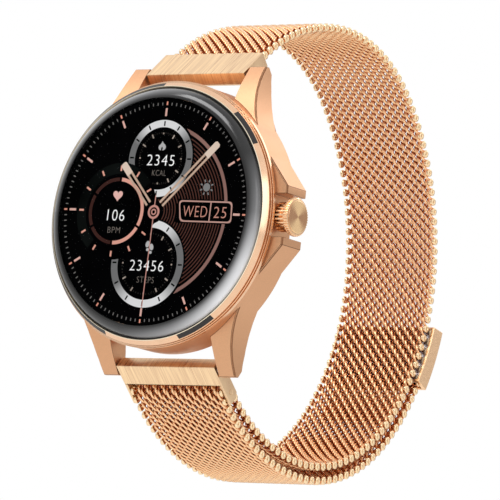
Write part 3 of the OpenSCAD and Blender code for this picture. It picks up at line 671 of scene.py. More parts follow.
def turned_section(section, count):
    """Verts and faces of a section of radii and heights, turned all the way round the dial."""
    return lathe([[on_dial(r, a, h) for r, h in section] for a in angles(count)])


def rim_arc(start, steps):
    """Points down the glass's curved rim from the share start of a quarter turn."""
    points = []
    for i in range(steps + 1):
        a = start + (math.pi / 2 - start) * i / steps
        points.append((GLASS_FLAT_R + (GLASS_R - GLASS_FLAT_R) * math.sin(a),
                       RIM_H + (GLASS_TOP_H - RIM_H) * math.cos(a)))
    return points


def make_glass():
    start = math.asin((CLEAR_R - GLASS_FLAT_R) / (GLASS_R - GLASS_FLAT_R))
    rim = rim_arc(start, 16)
    shade_h = rim[0][1]
    clear_r = CLEAR_R - 0.001 * MM
    clear = [(0, GLASS_IN_H), (0, GLASS_TOP_H), (GLASS_FLAT_R, GLASS_TOP_H), (clear_r, shade_h),
             (clear_r, GLASS_IN_H)]
    build("glass_face", *turned_section(clear, 192), "case", "glass", ("cover_glass",))
    inner_r = DISPLAY_HI.x + 0.1 * MM
    ring = rim + [(GLASS_R, SEAT_H), (inner_r, SEAT_H), (inner_r, GLASS_IN_H),
                  (CLEAR_R, GLASS_IN_H)]
    build("glass_rim", *turned_section(ring, 192), "case", "glass", (), material=rim_glass(),
          crease=30)


# Heights of the display's underside, tail, face and lit layers, under the glass
UNDER_H = 9.8 * MM
TAIL_H = 8.21 * MM
BASE_H = 10.56 * MM
SINK = 0.01 * MM
LAYERS = [10.568 * MM, 10.576 * MM, 10.584 * MM, 10.592 * MM]


def make_display():
    r = DISPLAY_HI.x
    plate = [(0, UNDER_H), (r, UNDER_H), (r, BASE_H), (0, BASE_H)]
    build("display_base", *turned_section(plate, 128), "case", "display", ("display_panel",))
    lo, hi = Vector((-3 * MM, -UNDER_H, -r + 1 * MM)), Vector((3 * MM, -TAIL_H, -r + 1.4 * MM))
    corners = [(x, y, z) for x in (lo.x, hi.x) for y in (lo.y, hi.y) for z in (lo.z, hi.z)]
    sides = [(0, 1, 3, 2), (4, 6, 7, 5), (0, 4, 5, 1), (2, 3, 7, 6), (0, 2, 6, 4), (1, 5, 7, 3)]
    build("display_tail", corners, sides, "case", "display")


class Ink:
    """Flat marks of one colour, gathered in dial units and made into thin closed plates."""

    def __init__(self, name, layer, material):
        self.name, self.top, self.material = name, LAYERS[layer], material
        self.verts, self.faces = [], []

    def take(self, verts, faces):
        self.faces += [tuple(i + len(self.verts) for i in face) for face in faces]
        self.verts += verts

    def outline(self, points):
        """A closed outline in dial units, [right, up], which may be hollow-sided."""
        n = len(points)
        verts = [inked(x, z, h) for h in (BASE_H - SINK, self.top) for x, z in points]
        faces = [tuple(range(n)), tuple(n + i for i in reversed(range(n)))]
        faces += [(i, n + i, n + (i + 1) % n, (i + 1) % n) for i in range(n)]
        self.take(verts, faces)

    def strip(self, inner, outer, closed=False):
        """A band between two rows of points, closed at both ends or all the way round."""
        low, high = BASE_H - SINK, self.top
        rings = [[inked(*p, low), inked(*q, low), inked(*q, high), inked(*p, high)]
                 for p, q in zip(inner, outer)]
        self.take(*lathe(rings, closed_turn=closed))

    def hoop(self, centre, r0, r1, count=64):
        self.strip([polar(centre, r0, a) for a in angles(count)],
                   [polar(centre, r1, a) for a in angles(count)], True)

    def disc(self, centre, r, squash=1.0, lean=0.0, count=24):
        points = []
        for a in angles(count):
            x, z = turn(r * squash * math.cos(a), r * math.sin(a), lean)
            points.append((centre[0] + x, centre[1] + z))
        self.outline(points)

    def mark(self, centre, r0, r1, angle, width):
        """A short bar that points away from centre."""
        ax = (math.cos(angle), math.sin(angle))
        side = (-ax[1] * width / 2, ax[0] * width / 2)
        ends = [(centre[0] + ax[0] * r, centre[1] + ax[1] * r) for r in (r0, r1)]
        self.outline([(ends[0][0] - side[0], ends[0][1] - side[1]),
                      (ends[1][0] - side[0], ends[1][1] - side[1]),
                      (ends[1][0] + side[0], ends[1][1] + side[1]),
                      (ends[0][0] + side[0], ends[0][1] + side[1])])

    def done(self):
        build(self.name, self.verts, self.faces, "case", "display", material=self.material)


def polar(centre, r, a):
    return centre[0] + r * math.cos(a), centre[1] + r * math.sin(a)


def outside(p, clips):
    return all(math.hypot(p[0] - c[0], p[1] - c[1]) > r for c, r in clips)


def trimmed(centre, r, start, end, clips):
    """The part of an arc that lies outside the clip circles, found from both of its ends."""
    step = math.radians(0.25)
    while start < end and not outside(polar(centre, r, start), clips):
        start += step
    while end > start and not outside(polar(centre, r, end), clips):
        end -= step
    return start, end


UPPER = ((0.0, 0.483), 0.283, 0.348)
LOWER = ((0.0, -0.466), 0.325, 0.395)
LEFT = (-0.416, -0.002)
LEFT_CLIP = (LEFT, 0.44)
HUB_CLIP = ((0.0, 0.0), 0.104)
TWELFTHS = [math.radians(30 * i) for i in range(12)]


def clipped_ring(ink, centre, r0, r1, start, end, clips, rows=5):
    """A ring sector whose ends follow the clip circles, drawn as one outline."""
    n = 96
    edges = []
    for i in range(rows + 1):
        r = r0 + (r1 - r0) * i / rows
        a0, a1 = trimmed(centre, r, start, end, clips)
        edges.append([polar(centre, r, a0 + (a1 - a0) * k / n) for k in range(n + 1)])
    rim = edges[0] + [row[-1] for row in edges[1:-1]] + edges[-1][::-1]
    rim += [row[0] for row in edges[-2:0:-1]]
    ink.outline(rim)


def arc_band(ink, centre, r0, r1, start, end, n):
    """A plain band from one angle to another."""
    turns = [start + (end - start) * k / n for k in range(n + 1)]
    ink.strip([polar(centre, r0, a) for a in turns], [polar(centre, r1, a) for a in turns])


def make_silver(name, skin_name, ring, low, high, clips):
    """A sub-dial's silver ring, bright and dark in turn round its own centre."""
    middle = ring[0][1] * bpy.context.scene.watch_dial.radius
    ink = Ink(name, 1, glow(skin_name, linear("d6d6d6"), 0.22, middle))
    clipped_ring(ink, *ring, math.radians(low), math.radians(high), clips)
    ink.done()


def make_subdials():
    make_silver("dial_ring_upper", "silver_upper", UPPER, -110, 200, [LEFT_CLIP])
    make_silver("dial_ring_lower", "silver_lower", LOWER, -190, 100, [LEFT_CLIP, HUB_CLIP])
    dark = Ink("dial_ring_marks", 2, glow("mark_black", (0.004, 0.004, 0.004)))
    pale = Ink("dial_ring_ticks", 1, glow("tick_pale", linear("b9ab9f"), 0.5))
    dots = Ink("dial_ring_dots", 1, glow("dot_grey", linear("3a3734"), 0.6))
    for (centre, r0, r1), low, high in ((UPPER, -95, 188), (LOWER, -184, 80)):
        for i, a in enumerate(TWELFTHS):
            deg = math.degrees(a)
            if low <= deg <= high or low <= deg - 360 <= high:
                mid = (r0 + r1) / 2
                dark.mark(centre, mid - 0.022, mid + 0.022, a, 0.015)
            if outside(polar(centre, r0 - 0.06, a), [LEFT_CLIP]):
                half = 0.019 if i % 3 else 0.007
                pale.mark(centre, r0 - 0.057 - half, r0 - 0.057 + half, a, 0.013)
        for i in range(60):
            a = math.radians(6 * i)
            if i % 5 and outside(polar(centre, r0 - 0.05, a), [LEFT_CLIP]):
                dots.mark(centre, r0 - 0.058, r0 - 0.045, a, 0.006)
    for ink in (dark, pale, dots):
        ink.done()


def make_left_dial():
    band = Ink("dial_left_band", 0, glow("band_dark", linear("0f1211"), 0.3))
    arc_band(band, LEFT, 0.335, 0.435, math.radians(38), math.radians(232), 80)
    band.done()
    light = Ink("dial_left_ring", 1, glow("ring_pink", linear("dda08f"), 0.85))
    dim = Ink("dial_left_ring_dim", 1, glow("ring_brown", linear("3c2420"), 0.8))
    gap = math.radians(2.2)
    stops = [math.radians(a) for a in (88, -28, -92, -150, -210, -272)]
    for i, (end, start) in enumerate(zip(stops, stops[1:])):
        arc_band(light if i < 2 else dim, LEFT, 0.27, 0.303, start + gap, end - gap, 32)
    light.done()
    dim.done()
    ticks = Ink("dial_left_ticks", 2, glow("tick_rose", linear("e0a28f"), 0.8))
    for a in TWELFTHS[1:]:
        ticks.mark(LEFT, 0.362, 0.412, a, 0.017)
    ticks.done()
    make_heart()


def make_heart():
    heart = Ink("dial_heart", 1, glow("heart_pink", linear("e5b6ad"), 0.8))
    points = []
    for t in angles(40):
        x = 16 * math.sin(t) ** 3
        z = 13 * math.cos(t) - 5 * math.cos(2 * t) - 2 * math.cos(3 * t) - math.cos(4 * t)
        points.append((LEFT[0] - 0.002 + x * 0.0033, 0.139 + z * 0.0033))
    heart.outline(points)
    heart.done()


def draw_run(ink, r, width, run):
    """One fine arc through the angles of a run, if it has a length."""
    if len(run) > 1:
        ink.strip([polar((0, 0), r - width / 2, t) for t in run],
                  [polar((0, 0), r + width / 2, t) for t in run])


def make_fine_arcs():
    """Fine arcs on the dial's right, cut off by the sub-dials, the hub and the date's box."""
    arcs = Ink("dial_fine_arcs", 0, glow("arc_brown", linear("50332c"), 0.7))
    clips = [(UPPER[0], UPPER[2] + 0.012), (LOWER[0], LOWER[2] + 0.012), (LEFT, 0.45), HUB_CLIP]
    pitch, width = 0.0295, 0.0115
    r = 0.115
    while r < 0.762:
        run = []
        n = int(60 + 140 * r)
        for i in range(n + 1):
            a = math.radians(-75 + 150 * i / n)
            p = polar((0, 0), r, a)
            boxed = 0.25 < p[0] < 0.88 and -0.085 < p[1] < 0.12
            if outside(p, clips) and not boxed:
                run.append(a)
            else:
                draw_run(arcs, r, width, run)
                run = []
        draw_run(arcs, r, width, run)
        r += pitch
    arcs.done()
    bold = Ink("dial_bold_arc", 0, glow("arc_rose", linear("8d6a62"), 0.75))
    clips = [(UPPER[0], UPPER[2] + 0.022), (LOWER[0], LOWER[2] + 0.022)]
    for low, high in ((-80, -6.5), (8.5, 85)):
        clipped_ring(bold, (0, 0), 0.764, 0.797, math.radians(low), math.radians(high), clips, 2)
    bold.done()


def rounded(corners, r, steps=5):
    """A four-sided outline with rounded corners, given anticlockwise from the lower left."""
    points = []
    for i, c in enumerate(corners):
        before, after = Vector(corners[i - 1]), Vector(corners[(i + 1) % 4])
        c = Vector(c)
        u, v = (before - c).normalized(), (after - c).normalized()
        for k in range(steps + 1):
            t = k / steps
            points.append(tuple(c + u * r * (1 - t) ** 2 + v * r * t ** 2))
    return points


def make_date():
    frame_ink = Ink("dial_date_frame", 1, glow("date_rose", linear("bd9489"), 0.85))
    corners = [(0.295, -0.079), (0.858, -0.079), (0.846, 0.114), (0.262, 0.114)]
    outer = rounded(corners, 0.04)
    middle = Vector((sum(c[0] for c in corners) / 4, sum(c[1] for c in corners) / 4))
    width = 0.013
    inner = []
    for p in outer:
        d = Vector(p) - middle
        inner.append((p[0] - math.copysign(width, d.x) * min(1, abs(d.x) / 0.24),
                      p[1] - math.copysign(width, d.y) * min(1, abs(d.y) / 0.075)))
    frame_ink.strip(inner, outer, True)
    frame_ink.mark((0.6145, -0.07), 0.0, 0.178, math.radians(90), 0.012)
    frame_ink.done()


def make_icons():
    grey = Ink("dial_icons", 1, glow("icon_grey", linear("b4b4b4"), 0.8))
    flame = [(0.0, 0.64), (0.017, 0.617), (0.03, 0.612), (0.043, 0.59), (0.04, 0.57),
             (0.022, 0.557), (0.008, 0.556), (0.013, 0.575), (0.002, 0.592), (-0.009, 0.574),
             (-0.006, 0.556), (-0.024, 0.561), (-0.037, 0.578), (-0.033, 0.6), (-0.02, 0.607),
             (-0.008, 0.622)]
    grey.outline(flame)
    for side in (-1, 1):
        x = side * 0.026 + 0.002
        grey.disc((x - side * 0.003, -0.303 - 0.012 * side), 0.03, 0.68, side * 0.25)
        grey.disc((x - side * 0.008, -0.352 - 0.012 * side), 0.014, 1.05)
    grey.done()
    weather = Ink("dial_weather", 2, glow("weather_grey", linear("7b7c7c"), 0.9))
    centre = (0.545, 0.235)
    weather.disc(centre, 0.037)
    for i in range(8):
        weather.mark(centre, 0.05, 0.073, math.radians(45 * i + 22.5), 0.013)
    weather.done()


TEXT_LAYER = 1


def add_text(name, body_text, place, height, width, material):
    """Generic numerals or a unit word, scaled to a height and width in dial units."""
    radius = bpy.context.scene.watch_dial.radius
    curve = bpy.data.curves.new(name, "FONT")
    curve.body = body_text
    curve.extrude = 0.5
    curve.offset = -0.012
    curve.space_character = 1.12
    curve.resolution_u = 4
    source = bpy.data.objects.new(name + "_curve", curve)
    bpy.context.scene.collection.objects.link(source)
    bpy.context.view_layer.update()
    mesh = bpy.data.meshes.new_from_object(source.evaluated_get(
        bpy.context.evaluated_depsgraph_get()))
    bpy.data.objects.remove(source)
    co = np.array([v.co for v in mesh.vertices], float)
    low, high = co.min(0), co.max(0)
    unit = (co - low) / (high - low)
    top, base = LAYERS[TEXT_LAYER], BASE_H - SINK
    x = place[0] + (unit[:, 0] - 0.5) * width
    z = place[1] + (unit[:, 1] - 0.5) * height
    x, z = turn(x, z, bpy.context.scene.watch_dial.turned)
    y = -(base + unit[:, 2] * (top - base))
    mesh.vertices.foreach_set("co", np.stack([x * radius, y, z * radius], 1).ravel())
    tidy_mesh(mesh)
    mesh.name = name
    add_piece(name, mesh, "case", "display", material=material)


def make_readings():
    white = glow("reading_white", (0.9, 0.9, 0.9), 0.9)
    faint = glow("reading_faint", linear("6f6862"), 0.8)
    rose = glow("reading_rose", linear("c58c7c"), 0.85)
    add_text("reading_upper", "2345", (0.006, 0.467), 0.098, 0.3, white)
    add_text("reading_lower", "23456", (-0.002, -0.484), 0.096, 0.37, white)
    add_text("reading_left", "106", (-0.412, -0.04), 0.1, 0.19, white)
    add_text("unit_upper", "KCAL", (0.004, 0.352), 0.052, 0.152, faint)
    add_text("unit_lower", "STEPS", (0.003, -0.611), 0.056, 0.188, faint)
    add_text("unit_left", "BPM", (-0.415, -0.174), 0.054, 0.138, faint)
    add_text("reading_day", "WED", (0.452, 0.016), 0.098, 0.262, rose)
    add_text("reading_date", "25", (0.725, 0.014), 0.1, 0.135, rose)


def make_marks():
    """Hour bars, and the minute marks as instances round a circle."""
    scene = bpy.context.scene
    radius = scene.watch_dial.radius
    bars = Ink("dial_hour_bars", 1, glow("bar_rose", linear("d9aca0"), 0.85))
    tips = Ink("dial_hour_tips", 1, glow("tip_rose", linear("e0957f"), 0.85))
    for a in TWELFTHS:
        bars.mark((0, 0), 0.866, 0.938, a, 0.02)
        tips.mark((0, 0), 0.966, 0.998, a, 0.015)
    bars.done()
    tips.done()
    tree = marks_tree(glow("minute_grey", linear("6d6b69"), 0.85))
    values = {"Count": scene.watch_dial.minute_marks, "Radius": 0.976 * radius,
              "Length": 0.026 * radius, "Width": 0.009 * radius,
              "Depth": LAYERS[1] - BASE_H + SINK, "Turn": scene.watch_dial.turned,
              "Height": (LAYERS[1] + BASE_H) / 2}
    mesh = grown("dial_minute_marks", tree, bpy.data.meshes.new("seed"), values)
    tidy_mesh(mesh)
    add_piece("dial_minute_marks", mesh, "case", "display", material=list(mesh.materials))


def make_hands():
    scene = bpy.context.scene
    hands = Ink("dial_hands", 2, glow("hand_beige", linear("c6a994"), 0.78))
    tips = Ink("dial_hand_tips", 3, glow("hand_tip", linear("dac5b4"), 0.9))
    for angle, slot_end, tip in ((scene.watch_dial.hour_angle, 0.456, 0.586),
                                 (scene.watch_dial.minute_angle, 0.716, 0.884)):
        half = 0.033
        for side in (-1, 1):
            shift = turn(0, side * (half - 0.011), angle)
            hands.mark(shift, 0.1, tip - 0.03, angle, 0.021)
        u = (math.cos(angle), math.sin(angle))
        start, length = slot_end, tip - slot_end
        points = [(start, -half), (start + length * 0.9, -half), (tip, -half * 0.6),
                  (tip, half * 0.6), (start + length * 0.9, half), (start, half)]
        tips.outline([(u[0] * p - u[1] * q, u[1] * p + u[0] * q) for p, q in points])
    hands.done()
    tips.done()
    thin = Ink("dial_second_hand", 3, glow("second_pink", linear("c08b80"), 0.9))
    thin.mark((0.002, 0), -0.86, -0.062, math.radians(90), 0.0085)
    thin.mark((0.002, 0), 0.062, 0.15, math.radians(90), 0.0085)
    thin.hoop((0, 0), 0.043, 0.063)
    thin.hoop((0, 0), 0.016, 0.028, 32)
    thin.done()


# ---- geometry node trees ----------------------------------------------------------------------

def new_tree(name, sizes):
    """A tree's wires, the sockets of its inputs and its last node, with named size inputs."""
    tree = bpy.data.node_groups.new(name, "GeometryNodeTree")
    for way in ("INPUT", "OUTPUT"):
        tree.interface.new_socket("Geometry", in_out=way, socket_type="NodeSocketGeometry")
    for label, default in sizes.items():
        kind = "NodeSocketInt" if isinstance(default, int) else "NodeSocketFloat"
        socket = tree.interface.new_socket(label, in_out="INPUT", socket_type=kind)
        socket.default_value = default
    return Wires(tree), tree.nodes.new("NodeGroupInput").outputs, tree.nodes.new("NodeGroupOutput")


def grown(name, tree, seed_mesh, values):
    """The plain mesh that a tree makes, with its inputs set by identifier."""
    obj = bpy.data.objects.new(name + "_seed", seed_mesh)
    bpy.context.scene.collection.objects.link(obj)
    modifier = obj.modifiers.new("Grow", "NODES")
    modifier.node_group = tree
    for item in tree.interface.items_tree:
        if item.item_type == "SOCKET" and item.in_out == "INPUT" and item.name in values:
            modifier[item.identifier] = values[item.name]
    bpy.context.view_layer.update()
    mesh = bpy.data.meshes.new_from_object(obj.evaluated_get(
        bpy.context.evaluated_depsgraph_get()))
    if len(mesh.polygons) == 0:
        raise RuntimeError(f"{name}: its tree made nothing")
    mesh.name = name
    bpy.data.objects.remove(obj)
    slots = list(mesh.materials)
    real = [m for m in slots if m]
    marks = np.zeros(len(mesh.polygons), np.int32)
    mesh.polygons.foreach_get("material_index", marks)
    order = np.array([real.index(m) if m else 0 for m in slots], np.int32)
    mesh.polygons.foreach_set("material_index", order[marks])
    paint(mesh, real)
    return mesh


def marks_tree(material):
    """Small bars round a circle, left out where the hour marks stand."""
    w, inputs, sink = new_tree("Ring of marks", {
        "Count": 120, "Radius": 0.018, "Length": 0.0005, "Width": 0.0002, "Depth": 1e-5,
        "Height": 0.0106, "Turn": 0.0})
    line = w.add("GeometryNodeMeshLine", "Mesh", Count=inputs["Count"])
    index = w.index()
    angle = w.plus(w.over(w.times(index, 2 * math.pi), inputs["Count"]), inputs["Turn"])
    place = w.vector(w.times(w.math("COSINE", angle), inputs["Radius"]),
                     w.times(inputs["Height"], -1.0),
                     w.times(w.math("SINE", angle), inputs["Radius"]))
    hour = w.math("COMPARE", w.math("MODULO", index, w.over(inputs["Count"], 12.0)), 0.0, 0.1)
    kept = w.in_order("GeometryNodeDeleteGeometry", domain="POINT")
    w.fill(kept, Geometry=w.moved(line, place), Selection=hour)
    bar = w.add("GeometryNodeMeshCube", "Mesh",
                Size=w.vector(inputs["Length"], inputs["Depth"], inputs["Width"]))
    # the angle is read again at the kept points, since their numbers have changed
    at = w.point_axes()
    facing = w.times(w.math("ARCTAN2", at["Z"], at["X"]), -1.0)
    many = w.copies(kept.outputs["Geometry"], bar, Rotation=w.vector(0.0, facing, 0.0))
    real = w.add("GeometryNodeRealizeInstances", "Geometry", Geometry=many)
    w.fill(sink, Geometry=w.painted(real, material))
    return w.tree


TURN_STEPS = 12
WIRE_SIDES = 5
# Sizes of the weave as shares of the wire's radius, the mesh's half height or the row pitch
COIL_MARGIN = 3.4
LOOP_MARGIN = 2.9
LOOP_WIRE = 1.35
LOOP_HIGH = 0.85
LOOP_WIDE = 0.44
# How much a coil's top and bottom are pressed flat, and how straight its legs run
COIL_FLAT = 1.35
COIL_STRAIGHT = 0.7


def coil_across(w, inputs):
    """One flattened coil across the strap, with X across it and Y through it, and its pitch."""
    inner = w.minus(inputs["Width"], w.times(inputs["Wire radius"], COIL_MARGIN))
    turns = w.math("ROUND", w.minus(w.over(inner, inputs["Column pitch"]), 0.5))
    pitch = w.over(inner, w.plus(turns, 0.5))
    line = w.add("GeometryNodeMeshLine", "Mesh", Count=w.plus(w.times(turns, TURN_STEPS), 1.0))
    share = w.over(w.index(), TURN_STEPS)
    angle = w.times(share, 2 * math.pi)
    across = w.times(w.minus(w.times(turns, 0.5), share), pitch)
    pressed = w.times(w.math("SINE", angle), COIL_FLAT)
    flat = w.math("MINIMUM", w.math("MAXIMUM", pressed, -1.0), 1.0)
    wave = w.math("COSINE", angle)
    straight = w.times(w.math("ARCSINE", wave), 2 / math.pi)
    lean = w.math("MULTIPLY_ADD", straight, COIL_STRAIGHT, w.times(wave, 0.3))
    place = w.vector(across, w.times(flat, inputs["Half height"]), w.times(lean, inputs["Reach"]))
    curve = w.add("GeometryNodeMeshToCurve", "Curve", Mesh=w.moved(line, place))
    wire = w.circle(WIRE_SIDES, inputs["Wire radius"])
    coil = w.add("GeometryNodeCurveToMesh", "Mesh", Curve=curve, Profile_Curve=wire,
                 Fill_Caps=True)
    return coil, pitch


def coil_rows(w, inputs, coil, pitch):
    """The coil in each row along the strap, in turn a quarter pitch to either side."""
    rows = w.add("GeometryNodeMeshLine", "Mesh", Count=inputs["Rows"])
    number = w.plus(w.index(), inputs["First row"])
    sideways = w.times(w.minus(w.math("MODULO", number, 2.0), 0.5), w.times(pitch, 0.5))
    along = w.plus(inputs["Start"], w.times(number, inputs["Row pitch"]))
    return w.copies(w.moved(rows, w.vector(sideways, 0.0, along)), coil)


def edge_loops(w, inputs):
    """A closed loop for each pair of rows, along each of the two edges."""
    pairs = w.add("GeometryNodeMeshLine", "Mesh",
                  Count=w.math("FLOOR", w.over(inputs["Rows"], 2.0)))
    pair = w.plus(w.times(w.index(), 2.0), inputs["First row"])
    along = w.plus(inputs["Start"], w.times(w.plus(pair, 0.5), inputs["Row pitch"]))
    at = w.point_axes()
    shape = w.vector(0.0, w.times(at["Y"], w.times(inputs["Half height"], LOOP_HIGH)),
                     w.times(at["X"], w.times(inputs["Row pitch"], LOOP_WIDE)))
    oval = w.moved(w.circle(14, 1.0), shape)
    loop = w.add("GeometryNodeCurveToMesh", "Mesh", Curve=oval,
                 Profile_Curve=w.circle(6, w.times(inputs["Wire radius"], LOOP_WIRE)))
    reach = w.minus(inputs["Width"], w.times(inputs["Wire radius"], LOOP_MARGIN))
    return [w.copies(w.moved(pairs, w.vector(w.times(reach, side), 0.0, along)), loop)
            for side in (-0.5, 0.5)]


def laid_on_path(w, inputs, flat):
    """The flat weave, each point moved to where its Z lies along the path."""
    path = w.add("GeometryNodeMeshToCurve", "Curve", Mesh=inputs["Geometry"])
    at = w.point_axes()
    sample = w.in_order("GeometryNodeSampleCurve", mode="LENGTH")
    w.fill(sample, Curves=path, Length=at["Z"])
    normal = w.vmath("NORMALIZE", w.vmath("CROSS_PRODUCT", sample.outputs["Tangent"],
                                          w.vector(1.0, 0.0, 0.0)))
    lifted = w.vmath("ADD", sample.outputs["Position"], w.vmath("SCALE", normal, Scale=at["Y"]))
    return w.moved(flat, w.vmath("ADD", lifted, w.vector(at["X"], 0.0, 0.0)))


def weave_tree(material, edge_material):
    """Rows of flattened coils and edge loops, made flat and then laid along a path."""
    w, inputs, sink = new_tree("Woven mesh", {
        "Width": 0.0189, "Column pitch": 0.00172, "Row pitch": 0.00087, "Reach": 0.0009,
        "Half height": 0.0005, "Wire radius": 0.0002, "First row": 0, "Rows": 10, "Start": 0.0})
    rows = coil_rows(w, inputs, *coil_across(w, inputs))
    joined = w.node("GeometryNodeJoinGeometry", Geometry=w.painted(rows, material))
    for loops in edge_loops(w, inputs):
        w.fill(joined, Geometry=w.painted(loops, edge_material))
    real = w.add("GeometryNodeRealizeInstances", "Geometry", Geometry=joined.outputs["Geometry"])
    # how far each point stands out from the middle of the mesh, for the painted shade in its
    # colour
    raised = w.over(w.math("ABSOLUTE", w.point_axes()["Y"]),
                    w.plus(inputs["Half height"], inputs["Wire radius"]))
    noted = w.in_order("GeometryNodeStoreNamedAttribute", data_type="FLOAT", domain="POINT")
    w.fill(noted, Geometry=real, Name="raised", Value=raised)
    w.fill(sink, Geometry=laid_on_path(w, inputs, noted.outputs["Geometry"]))
    return w.tree


# ---- the strap's path -------------------------------------------------------------------------

# The end link's length and thickness, and where its eye lies from its corner
LINK_LENGTH = 6.65 * MM
LINK_THICKNESS = 2.7 * MM
EYE = (1.4 * MM, 1.25 * MM)
# Straight mesh at both ends of the loop, and how far it enters the link
RUN_IN = 0.7 * MM
RUN_OUT = 0.8 * MM
POCKET = 1.2 * MM
PATH_STEP = 0.4 * MM
FOLD_STEPS = 12


def direction(angle):
    return np.array([math.cos(angle), math.sin(angle)])


class Loop:
    """The mesh's run in [depth, height]: round the wrist, over the fold bar and back outside."""

    def __init__(self):
        m = bpy.context.scene.watch_mesh
        tilt = m.link_tilt
        self.fold_r = (m.thickness + m.layer_gap) / 2
        u = direction(tilt)
        v = np.array([math.sin(tilt), -math.cos(tilt)])
        bar = np.array([(BAR_LO.y + BAR_HI.y) / 2, BAR_HI.z - (BAR_HI.y - BAR_LO.y) / 2])
        corner = bar - EYE[0] * u - EYE[1] * v
        start = corner + LINK_LENGTH * u + LINK_THICKNESS / 2 * v
        self.bar = np.array([(FOLD_LO.y + FOLD_HI.y) / 2, (FOLD_LO.z + FOLD_HI.z) / 2])
        low_v = np.array([v[0], -v[1]])
        end = self.bar + self.fold_r * low_v
        quarter = math.pi / 4
        turns = [math.pi / 2 + tilt, 2 * quarter, quarter, 0.0, -quarter, -2 * quarter,
                 -math.pi / 2 - tilt]
        radii = [0.0, m.shoulder_upper, m.back_upper, m.back_lower, m.shoulder_lower, 0.0]
        chord = [direction(turns[i + 1]) - direction(turns[i]) for i in range(6)]
        gap = end - start - RUN_IN * direction(tilt) - RUN_OUT * direction(math.pi - tilt)
        for i in range(1, 5):
            gap = gap - radii[i] * chord[i]
        radii[0], radii[5] = np.linalg.solve(np.array([chord[0], chord[5]]).T, gap)
        centre = start + RUN_IN * direction(tilt) - radii[0] * direction(turns[0])
        self.turns, self.radii, self.centres = turns, radii, [centre]
        for i in range(1, 6):
            centre = centre + (radii[i - 1] - radii[i]) * direction(turns[i])
            self.centres.append(centre)
        self.tilt, self.start, self.end = tilt, start, end

    def points(self, outer_length):
        """The whole path, densely stepped, the lengths where its parts start, and its length."""
        path = [self.start - POCKET * direction(self.tilt), self.start]
        marks = {}
        for i, (a0, a1) in enumerate(zip(self.turns, self.turns[1:])):
            n = max(2, int(self.radii[i] * (a0 - a1) / PATH_STEP))
            path += [self.centres[i] + self.radii[i] * direction(a0 + (a1 - a0) * k / n)
                     for k in range(n + 1)]
            marks[i + 1] = len(path) - 1
        path.append(self.end)
        marks["fold"] = len(path) - 1
        out = self.end - self.bar
        base = math.atan2(out[1], out[0])
        path += [self.bar + self.fold_r * direction(base + math.pi * k / FOLD_STEPS)
                 for k in range(1, FOLD_STEPS + 1)]
        marks["flap"] = len(path) - 1
        length = 0.0
        for p in self.outer_layer():
            length += float(np.linalg.norm(p - path[-1]))
            if length > outer_length:
                break
            path.append(p)
        clean, at = [path[0]], {0: 0}
        for i, p in enumerate(path[1:], 1):
            if np.linalg.norm(p - clean[-1]) > 1e-5:
                clean.append(p)
            at[i] = len(clean) - 1
        clean = np.array(clean)
        run = np.concatenate([[0], np.cumsum(np.linalg.norm(np.diff(clean, axis=0), axis=1))])
        return clean, {k: run[at[i]] for k, i in marks.items()}, run[-1]

    def outer_layer(self):
        """Points of the layer that lies back over the last three bends."""
        for i in (5, 4, 3):
            radius = self.radii[i] + 2 * self.fold_r
            turned = self.turns[i] - self.turns[i + 1]
            n = max(2, int(radius * turned / PATH_STEP))
            for k in range(n + 1):
                yield self.centres[i] + radius * direction(self.turns[i + 1] + turned * k / n)


def in_row(p):
    """A point [depth, height] of the strap's middle."""
    return Vector((0.0, float(p[0]), float(p[1])))


def make_weave():
    m = bpy.context.scene.watch_mesh
    loop = Loop()
    path, marks, total = loop.points(m.outer_length)
    tree = weave_tree(skin("mesh_gold"), edge_gold())
    start = m.reach * 0.4
    rows = int((total - start - m.reach) / m.row_pitch)

    def row_at(length):
        return 2 * int(round((length - start) / m.row_pitch / 2))

    cuts = [0, row_at((marks[2] + marks[3]) / 2), row_at(marks["fold"]), row_at(marks["flap"]) + 2,
            rows - rows % 2]
    names = ["mesh_upper", "mesh_lower", "mesh_fold", "mesh_flap"]
    for name, first, last in zip(names, cuts, cuts[1:]):
        seed = bpy.data.meshes.new("path")
        seed.from_pydata([in_row(p) for p in path], [(i, i + 1) for i in range(len(path) - 1)], [])
        values = {"Width": m.width, "Column pitch": m.column_pitch, "Row pitch": m.row_pitch,
                  "Reach": m.reach, "Half height": m.thickness / 2 - m.wire_radius,
                  "Wire radius": m.wire_radius, "First row": first, "Rows": last - first,
                  "Start": start}
        mesh = grown(name, tree, seed, values)
        tidy_mesh(mesh, 80)
        obj = bpy.data.objects.new(name, mesh)
        bpy.context.scene.collection.objects.link(obj)
        if name == "mesh_upper":
            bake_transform(obj)
            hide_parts("strap_upper")
        elif name == "mesh_lower":
            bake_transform(obj)
            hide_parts("strap_back", "strap_lower")
        elif name == "mesh_fold":
            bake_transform(obj)
            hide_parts("strap_fold")
        else:
            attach(obj, "flap")
            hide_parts("strap_flap")


# ---- crown ------------------------------------------------------------------------------------

FLUTES = 22
TEETH = 44
FLUTE_DEPTH = 0.28 * MM
TOOTH_DEPTH = 0.22 * MM
BODY_R = 2.45 * MM
FLANGE_R = 3.2 * MM
FLANGE_LEN = 0.95 * MM
CROWN_H = 5.4 * MM


def crown_ring(x, radius, count):
    """A ring round the crown's axis, whose radius is a number or a function of the angle."""
    ring = []
    for a in angles(count):
        r = radius(a) if callable(radius) else radius
        ring.append((x, -CROWN_H + r * math.cos(a), r * math.sin(a)))
    return ring


def crown_turned(stations, count):
    """Verts and faces of stations of places and radii, turned round the crown's axis."""
    rings = [crown_ring(x, r, count) for x, r in stations]
    return lathe([list(column) for column in zip(*rings)])


